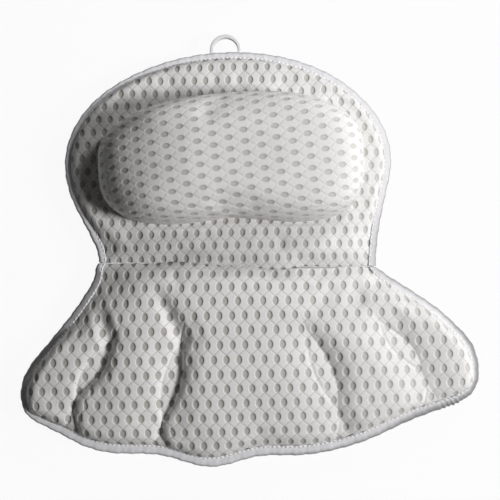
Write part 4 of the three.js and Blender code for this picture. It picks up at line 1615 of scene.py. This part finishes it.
class PillowOperator:
    """What the pillow's operators share"""
    bl_options = {"REGISTER"}

    def settings(self, context):
        """The sizes and the colours to make a piece with"""
        return context.scene.pillow_sizes, context.scene.pillow_colours


class PILLOW_OT_stage(PillowOperator, bpy.types.Operator):
    """Set up the floor, the light and the camera"""
    bl_idname = "pillow.stage"
    bl_label = "Stage"

    def execute(self, context):
        make_stage(context.scene)
        return {"FINISHED"}


class PILLOW_OT_head_cover(PillowOperator, bpy.types.Operator):
    """Make the padded front of the head panel"""
    bl_idname = "pillow.head_cover"
    bl_label = "Head cover"

    def execute(self, context):
        make_head_cover(*self.settings(context))
        return {"FINISHED"}


class PILLOW_OT_neck_roll(PillowOperator, bpy.types.Operator):
    """Make the stuffed neck roll"""
    bl_idname = "pillow.neck_roll"
    bl_label = "Neck roll"

    def execute(self, context):
        make_neck_roll(*self.settings(context))
        return {"FINISHED"}


class PILLOW_OT_back_cover(PillowOperator, bpy.types.Operator):
    """Make the quilted front of the back panel"""
    bl_idname = "pillow.back_cover"
    bl_label = "Back cover"

    def execute(self, context):
        make_back_cover(*self.settings(context))
        return {"FINISHED"}


class PILLOW_OT_rear_covers(PillowOperator, bpy.types.Operator):
    """Make the rear mesh of both panels"""
    bl_idname = "pillow.rear_covers"
    bl_label = "Rear covers"

    def execute(self, context):
        make_rear_covers(*self.settings(context))
        return {"FINISHED"}


class PILLOW_OT_bindings(PillowOperator, bpy.types.Operator):
    """Fold the edge tape round both panels and stitch it"""
    bl_idname = "pillow.bindings"
    bl_label = "Edge tape"

    def execute(self, context):
        make_bindings(*self.settings(context))
        return {"FINISHED"}


class PILLOW_OT_waist_seam(PillowOperator, bpy.types.Operator):
    """Make the seam that the panels fold on"""
    bl_idname = "pillow.waist_seam"
    bl_label = "Waist seam"

    def execute(self, context):
        make_waist_seam(*self.settings(context))
        return {"FINISHED"}


class PILLOW_OT_hanging_loop(PillowOperator, bpy.types.Operator):
    """Bend the hanging loop"""
    bl_idname = "pillow.hanging_loop"
    bl_label = "Hanging loop"

    def execute(self, context):
        make_hanging_loop(*self.settings(context))
        return {"FINISHED"}


class PILLOW_OT_cups(PillowOperator, bpy.types.Operator):
    """Make the six suction cups and their patches"""
    bl_idname = "pillow.cups"
    bl_label = "Suction cups"

    def execute(self, context):
        make_cups(*self.settings(context))
        return {"FINISHED"}


STEPS = (
    PILLOW_OT_stage,
    PILLOW_OT_head_cover,
    PILLOW_OT_neck_roll,
    PILLOW_OT_back_cover,
    PILLOW_OT_rear_covers,
    PILLOW_OT_bindings,
    PILLOW_OT_waist_seam,
    PILLOW_OT_hanging_loop,
    PILLOW_OT_cups,
)


class PILLOW_PT_pieces(bpy.types.Panel):
    """Lists the pillow's pieces, sizes and colours"""
    bl_idname = "PILLOW_PT_pieces"
    bl_label = "Bath pillow"
    bl_space_type = "VIEW_3D"
    bl_region_type = "UI"
    bl_category = "Pillow"

    def draw(self, context):
        for step in STEPS:
            self.layout.operator(step.bl_idname)
        for group in (context.scene.pillow_sizes, context.scene.pillow_colours):
            for name in group.bl_rna.properties.keys():
                if name not in {"rna_type", "name"}:
                    self.layout.prop(group, name)


CLASSES = (PillowSizes, PillowColours, *STEPS, PILLOW_PT_pieces)


def register():
    for kind in CLASSES:
        bpy.utils.register_class(kind)
    bpy.types.Scene.pillow_sizes = PointerProperty(type=PillowSizes)
    bpy.types.Scene.pillow_colours = PointerProperty(type=PillowColours)


def unregister():
    del bpy.types.Scene.pillow_colours
    del bpy.types.Scene.pillow_sizes
    for kind in reversed(CLASSES):
        bpy.utils.unregister_class(kind)


def main():
    register()
    for step in STEPS:
        getattr(bpy.ops.pillow, step.bl_idname.split(".")[1])()
    visual_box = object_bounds()
    ({"cad": [list(corner) for corner in cad_box],
               "visual": [list(corner) for corner in visual_box]})


if __name__ == "__main__":
    main()
